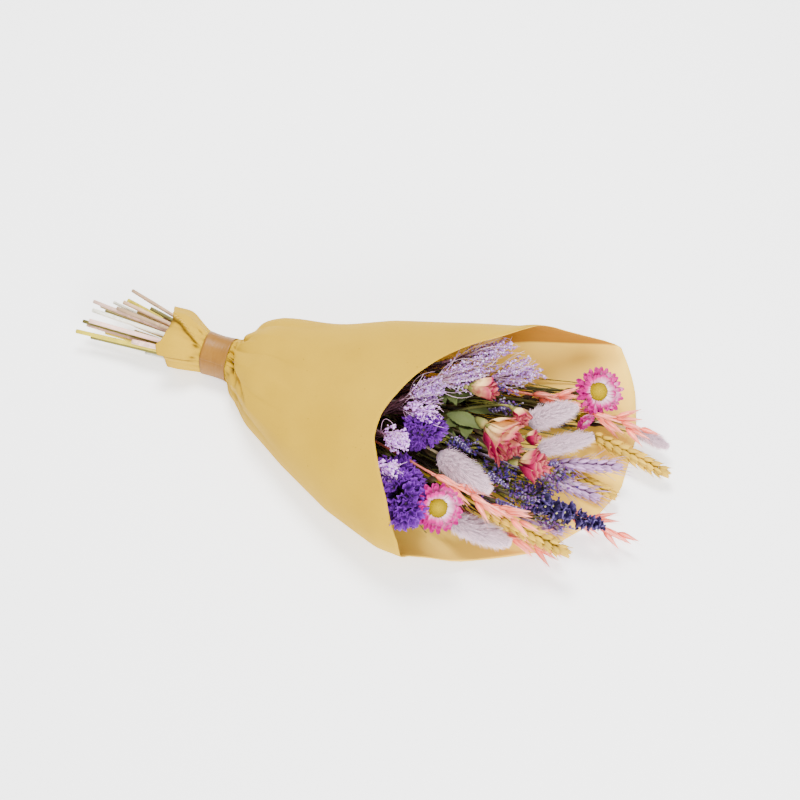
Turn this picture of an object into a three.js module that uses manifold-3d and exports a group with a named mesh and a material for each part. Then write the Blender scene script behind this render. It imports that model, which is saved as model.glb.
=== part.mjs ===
// A bouquet of dried flowers in a kraft paper wrap, lying down, in millimetres.
// X runs from the cut stems to the flower tips, Y across, Z up. The paper rests on z = 0.
// Lengths along the bouquet are counted from the near edge of the neck.
import * as THREE from "three";
import Module from "manifold-3d";

const wasm = await Module();
wasm.setup();

// Place of the origin: a point under the wrap, on its flat underside.
const REST_X = 204;
const REST_Y = -18;

// Paper
const PAPER = 0.8;
const LAYER_GAP = 0.5;
const PLEATS = 9;
const COLUMNS_ROUND = 36;
const OVERLAP_COLUMNS = 4;
const SEAM_ANGLE = 60;
const PANEL_STEP = 4.5;
const PANEL_FOLD = 3;
const NECK_ROWS = [-20, 0, 13, 26, 32];
const FLARE_SHARES = [0.13, 0.28, 0.43, 0.58, 0.73, 0.88, 1];

// Tape band and stem tie
const TAPE_START = 2;
const TAPE_END = 25;
const TAPE_THICK = 0.6;
const TAPE_STANDS_OFF = 0.65;
const TIE_X = 36;
const TIE_HALF = 2.5;
const TIE_THICK = 1;

// Stem bundle
const STEM_RADIUS = 1.9;
const STEM_TIP_RADIUS = 1.1;
const STEM_PITCH = 4.5;
const BUNDLE_Z = 19;
const BUNDLE_COLUMNS = [4, 5, 6, 7, 6, 5, 4];
const NECK_START = -6;
const NECK_END = 40;

// Gap that is kept where two pieces would cross, and the smallest detail that a cut leaves.
const CLEAR = 0.35;
const FINEST = 0.05;

// Half the thickness of the daisies' petals at the hub
const DAISY_HALF = 0.8;

const UP = new THREE.Vector3(0, 0, 1);
const AHEAD = new THREE.Vector3(1, 0, 0);

// Cross-sections of the wrap: place along X, half width, top, bottom, centre line in Y.
const SECTIONS = [
  [-60, 31, 50, 0.8, 0],
  [-48, 28, 48, 1, 0],
  [-20, 24, 43, 1.5, 1.5],
  [0, 18, 37.5, 2, 0],
  [13, 17.5, 36, 2, 0],
  [26, 18, 37, 2, 0],
  [31, 22, 40, 0.8, -2],
  [38, 28, 44, 0, -5],
  [60, 45, 57, 0, -9],
  [100, 65, 71, 0, -16.5],
  [150, 88, 86, 0, -22],
  [200, 105, 95, 0, -24],
  [260, 116, 98, 0, -18],
  [320, 117, 94, 0, -9],
  [380, 113, 88, 0, -1],
];

// Where the rim of the paper lies: angle round the section from the bottom, place along X.
const RIM = [
  [0, 367],
  [25, 367],
  [50, 356],
  [75, 341],
  [90, 330],
  [100, 300],
  [124, 283],
  [140, 248],
  [160, 217],
  [176, 193],
  [190, 180],
  [205, 178],
  [220, 187],
  [240, 205],
  [260, 218],
  [283, 225],
  [301, 234],
  [313, 280],
  [326, 322],
  [342, 350],
  [360, 367],
];

// Where the folded edge of the front panel lies, past the tape.
const PANEL_EDGE = [
  [0, 40],
  [100, 40],
  [130, 41],
  [190, 39],
  [205, 44],
  [230, 62],
  [260, 66],
  [300, 44],
  [360, 40],
];

// How far the collar reaches behind the neck, by angle.
const COLLAR_EDGE = [
  [0, 35.6],
  [60, 39.8],
  [110, 41.9],
  [150, 37.7],
  [180, 34.6],
  [215, 44],
  [240, 40.9],
  [270, 31.4],
  [300, 37.7],
  [360, 35.6],
];

// Number tools

function random(seed) {
  let state = seed >>> 0;
  return () => {
    state = (state + 0x6d2b79f5) >>> 0;
    let t = Math.imul(state ^ (state >>> 15), 1 | state);
    t = (t + Math.imul(t ^ (t >>> 7), 61 | t)) ^ t;
    return ((t ^ (t >>> 14)) >>> 0) / 4294967296;
  };
}

// Straight-line interpolation in a table whose first column rises.
function lookUp(table, at, column = 1) {
  const last = table.length - 1;
  if (at <= table[0][0]) return table[0][column];
  if (at >= table[last][0]) return table[last][column];
  const next = table.findIndex((row) => row[0] > at);
  const [a, b] = [table[next - 1], table[next]];
  return a[column] + ((b[column] - a[column]) * (at - a[0])) / (b[0] - a[0]);
}

function ramp(at, from, to) {
  const t = Math.min(1, Math.max(0, (at - from) / (to - from)));
  return t * t * (3 - 2 * t);
}

// Closed bodies

// A solid from points and triangles, with its faces turned outwards.
function solid(points, faces) {
  const vertProperties = new Float32Array(points.flatMap((p) => p.toArray()));
  const make = (list) => {
    const triVerts = new Uint32Array(list.flat());
    return new wasm.Manifold(new wasm.Mesh({ numProp: 3, vertProperties, triVerts }));
  };
  const made = make(faces);
  return made.volume() < 0 ? make(faces.map(([a, b, c]) => [a, c, b])) : made;
}

// A body through rings of points, capped at both ends. A ring of one point is a tip.
function loft(rings) {
  const points = [];
  const starts = rings.map((ring) => points.push(...ring) - ring.length);
  const faces = [];
  for (let i = 0; i + 1 < rings.length; i++) {
    const [a, b] = [starts[i], starts[i + 1]];
    const [countA, countB] = [rings[i].length, rings[i + 1].length];
    const count = Math.max(countA, countB);
    for (let k = 0; k < count; k++) {
      const l = (k + 1) % count;
      if (countA > 1) faces.push([a + k, a + l, b + (countB > 1 ? l : 0)]);
      if (countB > 1) faces.push([a + (countA > 1 ? k : 0), b + l, b + k]);
    }
  }
  const last = rings.length - 1;
  for (let k = 1; k + 1 < rings[0].length; k++) faces.push([starts[0], starts[0] + k + 1, starts[0] + k]);
  for (let k = 1; k + 1 < rings[last].length; k++)
    faces.push([starts[last], starts[last] + k, starts[last] + k + 1]);
  return solid(points, faces);
}

// Two unit vectors square to a direction: one level with the ground, one as near up as it can be.
function square(direction) {
  const reference = Math.abs(direction.z) > 0.95 ? AHEAD : UP;
  const side = new THREE.Vector3().crossVectors(direction, reference).normalize();
  const top = new THREE.Vector3().crossVectors(side, direction).normalize();
  return [side, top];
}

function ringRound(centre, side, top, radius, sides, flat = 1, turn = 0) {
  return Array.from({ length: sides }, (_, k) => {
    const angle = turn + (2 * Math.PI * k) / sides;
    return centre
      .clone()
      .addScaledVector(top, Math.cos(angle) * radius * flat)
      .addScaledVector(side, Math.sin(angle) * radius);
  });
}

// A round bar along a path, with a radius at each point.
function bar(path, radii, sides, grow = 0) {
  const last = path.length - 1;
  return loft(
    path.map((point, i) => {
      const direction = path[Math.min(i + 1, last)].clone().sub(path[Math.max(i - 1, 0)]).normalize();
      const [side, top] = square(direction);
      const past = i === 0 ? -grow : i === last ? grow : 0;
      return ringRound(point.clone().addScaledVector(direction, past), side, top, radii[i] + grow, sides);
    }),
  );
}

// A bud or grain: pointed at both ends, widest at the share of its length given by belly.
function bud(base, direction, length, radius, grow = 0, { sides = 4, belly = 0.4, flat = 1 } = {}) {
  const [side, top] = square(direction);
  const at = (share, past) => base.clone().addScaledVector(direction, length * share + past);
  const widest = ringRound(at(belly, 0), side, top, radius + grow, sides, flat);
  return loft([[at(0, -grow)], widest, [at(1, grow)]]);
}

// A leaf: a cupped blade with a sharp rim and a thick middle, whose tip drops a little.
function blade(base, direction, lift, length, width, grow) {
  const [thick, drop, cup] = [1, 0.06, 0.3];
  const side = new THREE.Vector3().crossVectors(direction, lift).normalize();
  const spine = (t) =>
    base
      .clone()
      .addScaledVector(direction, length * t + (t > 0.5 ? grow : -grow))
      .addScaledVector(lift, -drop * length * t * t);
  const ring = (t, share) => {
    const centre = spine(t);
    const half = (width / 2) * share + grow;
    const raised = cup * half;
    return [
      centre.clone().addScaledVector(side, half).addScaledVector(lift, raised),
      centre.clone().addScaledVector(lift, thick / 2 + grow),
      centre.clone().addScaledVector(side, -half).addScaledVector(lift, raised),
      centre.clone().addScaledVector(lift, -thick / 2 - grow),
    ];
  };
  return loft([[spine(0)], ring(0.27, 0.62), ring(0.6, 1), [spine(1)]]);
}

// The largest body of what several solids make together.
function fuse(solids) {
  return largest(wasm.Manifold.union(solids));
}

function largest(body) {
  const bodies = body.decompose();
  return bodies.reduce((best, next) => (next.volume() > best.volume() ? next : best), bodies[0]);
}

function boxesMeet(a, b) {
  const [p, q] = [a.boundingBox(), b.boundingBox()];
  return [0, 1, 2].every((i) => p.min[i] <= q.max[i] && q.min[i] <= p.max[i]);
}

// Paper wrap

// A point of the wrap's outer face at a place along X and an angle round from the bottom.
function wrapPoint(x, degrees, proud = 0) {
  const [halfWidth, top, bottom, middle] = [1, 2, 3, 4].map((column) => lookUp(SECTIONS, x, column));
  const angle = THREE.MathUtils.degToRad(degrees);
  const [c, s] = [Math.cos(angle), Math.sin(angle)];
  const centre = bottom + (top - bottom) * 0.4;
  const y = middle + (halfWidth + proud) * Math.sign(s) * Math.abs(s) ** 0.95;
  const below = (centre - bottom + proud) * Math.min(1, 1.12 * Math.abs(c) ** 0.77);
  return new THREE.Vector3(x, y, c < 0 ? centre + (top - centre + proud) * -c : centre - below);
}

// Height of the pleats and of the raised front panel, both measured square to the paper.
function wrapRelief(x, degrees) {
  const angle = THREE.MathUtils.degToRad(degrees);
  const upperSide = ramp(-Math.cos(angle), -0.75, -0.2);
  const past = 1.5 * upperSide * ramp(x, 27, 36) * (1 - ramp(x, 45, 110));
  const collar = 2.2 * ramp(-x, 0, 30) * (0.4 + 0.6 * upperSide);
  const pleats = (0.3 + past + collar) * Math.cos((PLEATS * degrees * Math.PI) / 180);
  const window = ramp(degrees, 62, 110) * (1 - ramp(degrees, 215, 262));
  const edge = lookUp(PANEL_EDGE, degrees);
  const farSide = 1 + 0.8 * ramp(-Math.abs(degrees - 115), -60, -10);
  const panel = PANEL_STEP * farSide * window * ramp(x, edge, edge + PANEL_FOLD) * (1 - ramp(x, 50, 120));
  return pleats + panel;
}

// The wrap is one sheet: its columns go once round and lap under themselves at the seam.
function wrapSheet(grow = 0) {
  const step = 360 / COLUMNS_ROUND;
  const columns = COLUMNS_ROUND + OVERLAP_COLUMNS;
  const place = (column, row) => {
    const degrees = (SEAM_ANGLE + column * step) % 360;
    const edge = lookUp(PANEL_EDGE, degrees);
    const rim = lookUp(RIM, degrees);
    const fold = edge + PANEL_FOLD;
    const flare = FLARE_SHARES.map((share) => fold + share * (rim - fold));
    const x = [-lookUp(COLLAR_EDGE, degrees), ...NECK_ROWS, edge, fold, ...flare][row];
    const under = (PAPER + LAYER_GAP) * (1 - ramp(column, OVERLAP_COLUMNS, OVERLAP_COLUMNS + 2));
    const point = wrapPoint(x, degrees);
    const along = wrapPoint(x + 1, degrees).sub(wrapPoint(x - 1, degrees));
    const round = wrapPoint(x, degrees + 2).sub(wrapPoint(x, degrees - 2));
    const outward = new THREE.Vector3().crossVectors(along, round).normalize();
    if (outward.dot(new THREE.Vector3(0, point.y, point.z - BUNDLE_Z)) < 0) outward.negate();
    const outer = point.clone().addScaledVector(outward, wrapRelief(x, degrees) - under);
    if (under < 0.01) outer.z = Math.max(outer.z, 0);
    const inner = outer.clone().addScaledVector(outward, -PAPER - grow);
    return [outer.addScaledVector(outward, grow), inner];
  };
  const rowCount = NECK_ROWS.length + 3 + FLARE_SHARES.length;
  const points = [];
  for (let column = 0; column <= columns; column++)
    for (let row = 0; row < rowCount; row++) points.push(...place(column, row));
  const id = (column, row, face) => 2 * (column * rowCount + row) + face;
  const faces = [];
  const quad = (a, b, c, d) => faces.push([a, b, c], [a, c, d]);
  for (let i = 0; i < columns; i++)
    for (let j = 0; j + 1 < rowCount; j++) {
      quad(id(i, j, 0), id(i + 1, j, 0), id(i + 1, j + 1, 0), id(i, j + 1, 0));
      faces.push([id(i, j, 1), id(i + 1, j + 1, 1), id(i + 1, j, 1)]);
      faces.push([id(i, j, 1), id(i, j + 1, 1), id(i + 1, j + 1, 1)]);
    }
  const end = rowCount - 1;
  for (let i = 0; i < columns; i++) {
    quad(id(i, 0, 0), id(i, 0, 1), id(i + 1, 0, 1), id(i + 1, 0, 0));
    quad(id(i, end, 0), id(i + 1, end, 0), id(i + 1, end, 1), id(i, end, 1));
  }
  for (let j = 0; j < end; j++) {
    quad(id(0, j, 0), id(0, j + 1, 0), id(0, j + 1, 1), id(0, j, 1));
    quad(id(columns, j, 0), id(columns, j, 1), id(columns, j + 1, 1), id(columns, j + 1, 0));
  }
  return solid(points, faces);
}

// A closed band: for each angle a loop of four corners, inside and outside at both of its edges.
function band(steps, corner) {
  const points = [];
  for (let i = 0; i < steps; i++) points.push(...[0, 1, 2, 3].map((k) => corner((360 * i) / steps, k)));
  const faces = [];
  for (let i = 0; i < steps; i++)
    for (let k = 0; k < 4; k++) {
      const [a, b] = [4 * i + k, 4 * i + ((k + 1) % 4)];
      const [c, d] = [(a + 4) % points.length, (b + 4) % points.length];
      faces.push([a, c, d], [a, d, b]);
    }
  return solid(points, faces);
}

// The tape follows the outer face of the neck.
function tapeBand() {
  const corner = (degrees, k) => {
    const proud = TAPE_STANDS_OFF + (k === 0 || k === 3 ? 0 : TAPE_THICK);
    return wrapPoint(k < 2 ? TAPE_START : TAPE_END, degrees, proud);
  };
  return band(24, corner);
}

// The tie lies round the bundle inside the paper, where the stems still run straight.
function stemTie() {
  const bundleRadius = 3 * STEM_PITCH + STEM_RADIUS + CLEAR;
  const corner = (degrees, k) => {
    const radius = bundleRadius / Math.cos(Math.PI / 16) + (k === 0 || k === 3 ? 0 : TIE_THICK);
    const angle = THREE.MathUtils.degToRad(degrees);
    const x = TIE_X + (k < 2 ? -TIE_HALF : TIE_HALF);
    return new THREE.Vector3(x, radius * Math.sin(angle), BUNDLE_Z + radius * Math.cos(angle));
  };
  return band(16, corner);
}

// Stems

// The path of a stem: cut end, straight through the neck, then a curve to its flower.
function stemPath(plant) {
  const { slot, base, tip, cut } = plant;
  const [y, z] = slot;
  const past = cut + NECK_START;
  const fan = new THREE.Vector3(-cut, y * (1 + 0.015 * past) + 0.117 * past, z * (1 - 0.001 * past));
  const start = new THREE.Vector3(NECK_START, y, z);
  const leave = new THREE.Vector3(NECK_END, y, z);
  const reach = leave.distanceTo(base);
  const heading = tip.clone().sub(base).normalize();
  const curve = new THREE.CubicBezierCurve3(
    leave,
    leave.clone().addScaledVector(AHEAD, 0.15 * reach),
    base.clone().addScaledVector(heading, -Math.min(24, 0.18 * reach)),
    base,
  );
  return [fan, start, leave, ...[0.35, 0.7, 1].map((t) => curve.getPoint(t))];
}

function stem(plant, grow = 0) {
  const radii = [STEM_RADIUS, STEM_RADIUS, STEM_RADIUS, 1.6, 1.3, STEM_TIP_RADIUS];
  return bar(stemPath(plant), radii, 6, grow);
}

// Flowers: each returns the solids of its head, grown by a given amount.

function alongHead(plant) {
  const axis = plant.tip.clone().sub(plant.base);
  const length = axis.length();
  const direction = axis.normalize();
  const [side, top] = square(direction);
  const at = (share) => plant.base.clone().addScaledVector(direction, length * share);
  return { length, direction, side, top, at };
}

function spread(direction, side, top, angle, lean) {
  return direction
    .clone()
    .multiplyScalar(Math.cos(lean))
    .addScaledVector(side, Math.sin(lean) * Math.sin(angle))
    .addScaledVector(top, Math.sin(lean) * Math.cos(angle))
    .normalize();
}

// A body of revolution along a head: each ring gives its place, radius and a relief per column.
function relief(plant, columns, rings, grow) {
  const { side, top, at, length, direction } = alongHead(plant);
  return loft(
    rings.map(({ share, radius, raise = () => 1, ahead = () => 0, flat = 1 }) => {
      const centre = at(share);
      if (!radius) return [centre.addScaledVector(direction, share > 0.5 ? grow : -grow)];
      return Array.from({ length: columns }, (_, k) => {
        const angle = (2 * Math.PI * k) / columns;
        const out = radius * raise(k) + grow;
        return centre
          .clone()
          .addScaledVector(top, Math.cos(angle) * out * flat)
          .addScaledVector(side, Math.sin(angle) * out)
          .addScaledVector(direction, ahead(k) * length);
      });
    }),
  );
}

// Bunny tail: an egg whose surface stands up in tufts.
function bunnyTail(plant, grow) {
  const rows = 8;
  const rings = Array.from({ length: rows + 1 }, (_, i) => {
    const share = i / rows;
    const belly = i % rows ? Math.sin(Math.PI * share ** 0.8) ** 0.6 : 0;
    const raise = (k) => 1 + 0.13 * ((i + k) % 2 ? 1 : -1);
    return { share: share * 1.06 - 0.06, radius: plant.radius * belly, raise };
  });
  return [relief(plant, 8, rings, grow)];
}

// Wheat: plump grains in two rows that take turns, raised from a slim ear, with a few bristles.
function wheatEar(plant, grow) {
  const { direction, side, top, at } = alongHead(plant);
  const levels = plant.levels ?? 7;
  const rings = [{ share: -0.02, radius: 0 }];
  for (let i = 0; i < 2 * levels; i++) {
    const share = (i + 0.5) / (2 * levels);
    const taper = 0.62 + 0.5 * Math.sin(Math.PI * share ** 0.75);
    const raise = (k) => 1 + 0.24 * ((i + (k < 4 ? 0 : 1)) % 2 ? 1 : -1) * (k % 4 === 0 ? 0 : 1);
    const ahead = (k) => (raise(k) > 1 ? 0.028 : -0.01);
    rings.push({ share, radius: plant.radius * 0.86 * taper, raise, ahead, flat: 0.82 });
  }
  rings.push({ share: 1, radius: 0 });
  const parts = [relief(plant, 8, rings, grow)];
  const bristles = plant.bristles ?? 0;
  for (let i = 0; i < bristles; i++) {
    const lean = spread(direction, side, top, i * 2.4, 0.36);
    parts.push(bud(at(0.3 + (0.6 * i) / bristles), lean, 17, 0.8, grow, { sides: 3, belly: 0.3 }));
  }
  return parts;
}

// A husk or bead on its own fine stalk, as one three-sided body.
function stalked(base, way, reach, beads, grow, stalk = 0.7) {
  const rings = [[0, stalk], ...beads, [reach, 0]];
  const [side, top] = square(way);
  return loft(
    rings.map(([distance, radius], i) => {
      const past = i === rings.length - 1 ? grow : -grow / 2;
      const centre = base.clone().addScaledVector(way, distance + past);
      return radius ? ringRound(centre, side, top, radius + grow, 3) : [centre];
    }),
  );
}

// Oats: a stalk with pairs of husks that hang from it on fine side stalks.
function oatPanicle(plant, grow) {
  const { length, direction, side, top, at } = alongHead(plant);
  const draw = random(plant.seed);
  const pairs = plant.pairs;
  const parts = [bar([at(-0.03), at(0.92)], [STEM_TIP_RADIUS, 0.7], 3, grow)];
  const husk = Math.min(20, 0.3 * length + 7);
  for (let i = 0; i < pairs; i++) {
    const from = at((0.8 * i) / pairs);
    const angle = i * 2.4 + draw() * 0.6;
    for (const open of [-0.13, 0.16]) {
      const way = spread(direction, side, top, angle + open, 0.46 + open);
      const reach = husk + 5 + 2 * draw();
      parts.push(stalked(from, way, reach, [[5, 0.6], [5 + husk * 0.4, 2.3]], grow));
    }
  }
  parts.push(bud(at(0.84), direction, Math.min(16, 0.4 * length), 2.2, grow, { flat: 0.6 }));
  return parts;
}

// Broom bloom: fine twigs that fork from a short axis, each with small round buds near its end.
function broomSpray(plant, grow) {
  const { length, direction, side, top, at } = alongHead(plant);
  const draw = random(plant.seed);
  const twigs = 7;
  const parts = [bar([at(-0.06), at(0.5)], [STEM_TIP_RADIUS, 0.8], 3, grow)];
  for (let i = 0; i < twigs; i++) {
    const from = at(0.05 + (0.42 * i) / twigs);
    const way = spread(direction, side, top, i * 2.4, 0.5 - 0.42 * (i / twigs));
    const reach = length * (0.66 + 0.12 * draw() - (0.12 * i) / twigs);
    const beads = [
      [reach * 0.5, 0.7],
      [reach * 0.66, 2.5],
      [reach * 0.88, 2.3],
    ];
    parts.push(stalked(from, way, reach, beads, grow));
  }
  return parts;
}

// Statice: papery cups that stand close together out of a smaller core.
function staticeHead(plant, grow) {
  const { length, direction, side, top, at } = alongHead(plant);
  const core = [0.12, 0.45, 0.8].map((share, i) =>
    ringRound(at(share), side, top, plant.radius * [0.42, 0.66, 0.5][i] + grow, 6),
  );
  const parts = [loft([[at(-0.02)], ...core, [at(0.95)]])];
  for (let i = 0; i < plant.cups; i++) {
    const share = (i + 0.5) / plant.cups;
    const way = spread(direction, side, top, i * 2.4, Math.min(Math.acos(1 - 1.75 * share), 1.6));
    const reach = plant.radius * (0.98 + 0.08 * ((i * 7) % 3));
    const from = at(0.1 + 0.68 * (1 - share));
    const [cupSide, cupTop] = square(way);
    const mouth = from.clone().addScaledVector(way, reach);
    const rim = ringRound(mouth, cupSide, cupTop, 0.16 * plant.radius + 3 + grow, 4, 1, i);
    rim.forEach((point, k) => point.addScaledVector(way, k % 2 ? 1 : -1));
    const dent = mouth.clone().addScaledVector(way, grow ? 1.2 : -1.2);
    parts.push(loft([[from.clone().addScaledVector(way, reach * 0.3)], rim, [dent]]));
  }
  return length > 45 ? [...parts, bud(at(0.05), direction, length * 0.9, plant.radius * 0.6, grow)] : parts;
}

// Delphinium: a raceme of five-lobed florets round a slim core.
function delphiniumHead(plant, grow) {
  const { direction, side, top, at } = alongHead(plant);
  const florets = 12;
  const parts = [bar([at(0), at(0.5), at(0.98)], [1.8, 2.2, 1.4], 5, grow)];
  for (let i = 0; i < florets; i++) {
    const share = (i + 0.4) / florets;
    const face = spread(direction, side, top, i * 2.4, 1.1 - 0.4 * share);
    const size = plant.radius * (share > 0.6 && share < 0.72 ? 0.6 : 1);
    const [faceSide, faceTop] = square(face);
    const middle = at(share).addScaledVector(face, size * 0.62);
    const rim = ringRound(middle, faceSide, faceTop, size * 0.7 + grow, 10, 1, i);
    rim.forEach((point, k) => (k % 2 ? point.lerp(middle, 0.42) : point.addScaledVector(face, size * 0.22)));
    const front = middle.clone().addScaledVector(face, size * 0.08 + grow);
    parts.push(loft([[at(share).addScaledVector(face, -grow)], rim, [front]]));
  }
  return parts;
}

// Lavender: whorls of small buds up a slim spike.
function lavenderSpike(plant, grow) {
  const whorls = 4;
  const rings = [{ share: -0.03, radius: 0 }];
  for (let i = 0; i < whorls; i++) {
    const raise = (k) => ((i + k) % 2 ? 1.25 : 0.8);
    const size = 3.4 - 0.35 * i;
    rings.push({ share: (i + 0.15) / whorls, radius: size * 0.5 });
    rings.push({ share: (i + 0.65) / whorls, radius: size, raise, ahead: (k) => ((i + k) % 2 ? 0.05 : 0) });
  }
  rings.push({ share: 1.02, radius: 0 });
  return [relief(plant, 6, rings, grow)];
}

// Rose: three rows of petals, one inside the other. Each row's rim has its own lobes, with a notch
// between petals, and a groove parts it from the next.
function rosePetals(flower, grow) {
  const lobes = 5;
  const columns = 3 * lobes;
  const size = flower.radius;
  const row = (radius, share, turn) => {
    const petal = (k) => Math.abs(Math.sin((Math.PI * (k + turn)) / 3));
    return {
      share,
      radius: size * radius,
      raise: (k) => 0.9 + 0.16 * petal(k),
      ahead: (k) => 0.16 * petal(k) - 0.12,
    };
  };
  const open = flower.open;
  const rings = [
    { share: 0, radius: 0 },
    { share: 0.12, radius: size * 0.55 },
    { share: 0.45, radius: size * (0.8 + 0.1 * open) },
    row(0.86 + 0.14 * open, 0.86, 0),
    { share: 0.66, radius: size * 0.7 },
    row(0.6, 1, 1),
    { share: 0.76, radius: size * 0.36 },
    row(0.24, 1.04, 2),
    { share: 0.9, radius: 0 },
  ];
  return [relief(flower, columns, rings, grow)];
}

// The green cup under a rose: a swelling that opens into five narrow sepals.
function roseCup(flower, grow) {
  const { length } = alongHead(flower);
  const swell = flower.radius * 0.3;
  const sepal = (k) => (k % 2 ? 1 : 0.3);
  const rings = [
    { share: (-2.4 * swell) / length, radius: 0 },
    { share: (-1.1 * swell) / length, radius: swell },
    { share: 0, radius: flower.radius * 0.95, raise: sepal, ahead: (k) => (k % 2 ? 0.12 : -0.04) },
    { share: -CLEAR / length, radius: swell * 0.5 },
  ];
  return [relief(flower, 10, rings, grow)];
}

// Everlasting daisy: two rows of narrow papery petals round a hub, the upper row shorter.
// Each ring is given by its share of the radius and its height over the cone that they open to.
function daisyPetals(plant, grow) {
  const { direction, side, top } = alongHead(plant);
  const { base, radius, petals = 13, rise = 0.2 } = plant;
  const columns = 2 * petals;
  const circle = (share, height, { first = -1, notch = 1 } = {}) =>
    Array.from({ length: columns }, (_, k) => {
      const angle = (2 * Math.PI * k) / columns;
      const reach = first < 0 ? share : (k + first) % 2 ? notch : share * (1 - 0.05 * (k % 3));
      const out = radius * reach + grow;
      return base
        .clone()
        .addScaledVector(top, Math.cos(angle) * out)
        .addScaledVector(side, Math.sin(angle) * out)
        .addScaledVector(direction, height + (out - radius * 0.3) * rise);
    });
  const level = (share, height) => ringRound(centre(height)[0], side, top, radius * share + grow, columns);
  const centre = (height) => [base.clone().addScaledVector(direction, height)];
  const under = -DAISY_HALF - grow;
  const over = DAISY_HALF + grow;
  return [
    loft([
      centre(under),
      circle(0.36, under),
      circle(1, 0, { first: 1, notch: 0.54 }),
      circle(0.5, over),
      circle(0.8, over + 2.2, { first: 0, notch: 0.44 }),
      circle(0.38, over + 0.8),
      level(0.34, over),
      centre(over),
    ]),
  ];
}

// The daisy's disc: a low dome of florets in rings, every second one raised.
function daisyDisc(plant, grow) {
  const { direction, side, top } = alongHead(plant);
  const radius = plant.radius * 0.33;
  const florets = 10;
  const lift = DAISY_HALF + CLEAR;
  const at = (height) => plant.base.clone().addScaledVector(direction, lift + height);
  const rings = [ringRound(at(-grow), side, top, radius * 0.8 + grow, florets)];
  [0.98, 0.66, 0.34].forEach((share, i) => {
    const height = 0.9 + (1 - share ** 2) * radius * 0.42;
    const ring = ringRound(at(height), side, top, radius * share + grow, florets);
    ring.forEach((point, k) => point.addScaledVector(direction, ((i + k) % 2 ? 0.5 : -0.3) + grow));
    rings.push(ring);
  });
  rings.push([at(0.9 + radius * 0.42 + grow)]);
  return [loft(rings)];
}

function daisyStem(plant, grow) {
  const { direction } = alongHead(plant);
  const cupBase = plant.base.clone().addScaledVector(direction, -5.5);
  const length = 5.5 - DAISY_HALF - CLEAR;
  return [bud(cupBase, direction, length, plant.radius * 0.2, grow, { sides: 6, belly: 0.75 })];
}

// Leaves of a rose stem
function leaves(list, grow) {
  return list.map(({ from, to, width }) => {
    const way = to.clone().sub(from);
    const length = way.length();
    way.normalize();
    const [, top] = square(way);
    const root = from.clone().addScaledVector(way, -2);
    return blade(root, way, top, length + 2, width, grow);
  });
}

// Plants: base is where the flower head begins, tip where it ends. Cut is how far the stem
// reaches behind the near edge of the neck. Radius is that of the head.
const at = (x, y, z) => new THREE.Vector3(x, y, z);

const ROSE_FLOWERS = [
  { name: "rose_bloom_1", base: at(234, 9, 68), tip: at(255, 13, 70), radius: 12.5, open: 0.7 },
  { name: "rose_bloom_2", base: at(269, 7, 61), tip: at(285, -2, 64), radius: 9, open: 0.6 },
  { name: "rose_bloom_3", base: at(260, -18, 62), tip: at(276, -32, 72), radius: 17, open: 1.15 },
  { name: "rose_bloom_4", base: at(284, -13, 57), tip: at(297, -10, 58), radius: 7.5, open: 0.9 },
  { name: "rose_bloom_5", base: at(289, -36, 55), tip: at(307, -33, 60), radius: 13, open: 0.95 },
];
const ROSE_FORK = at(214, -10, 47);

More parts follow.
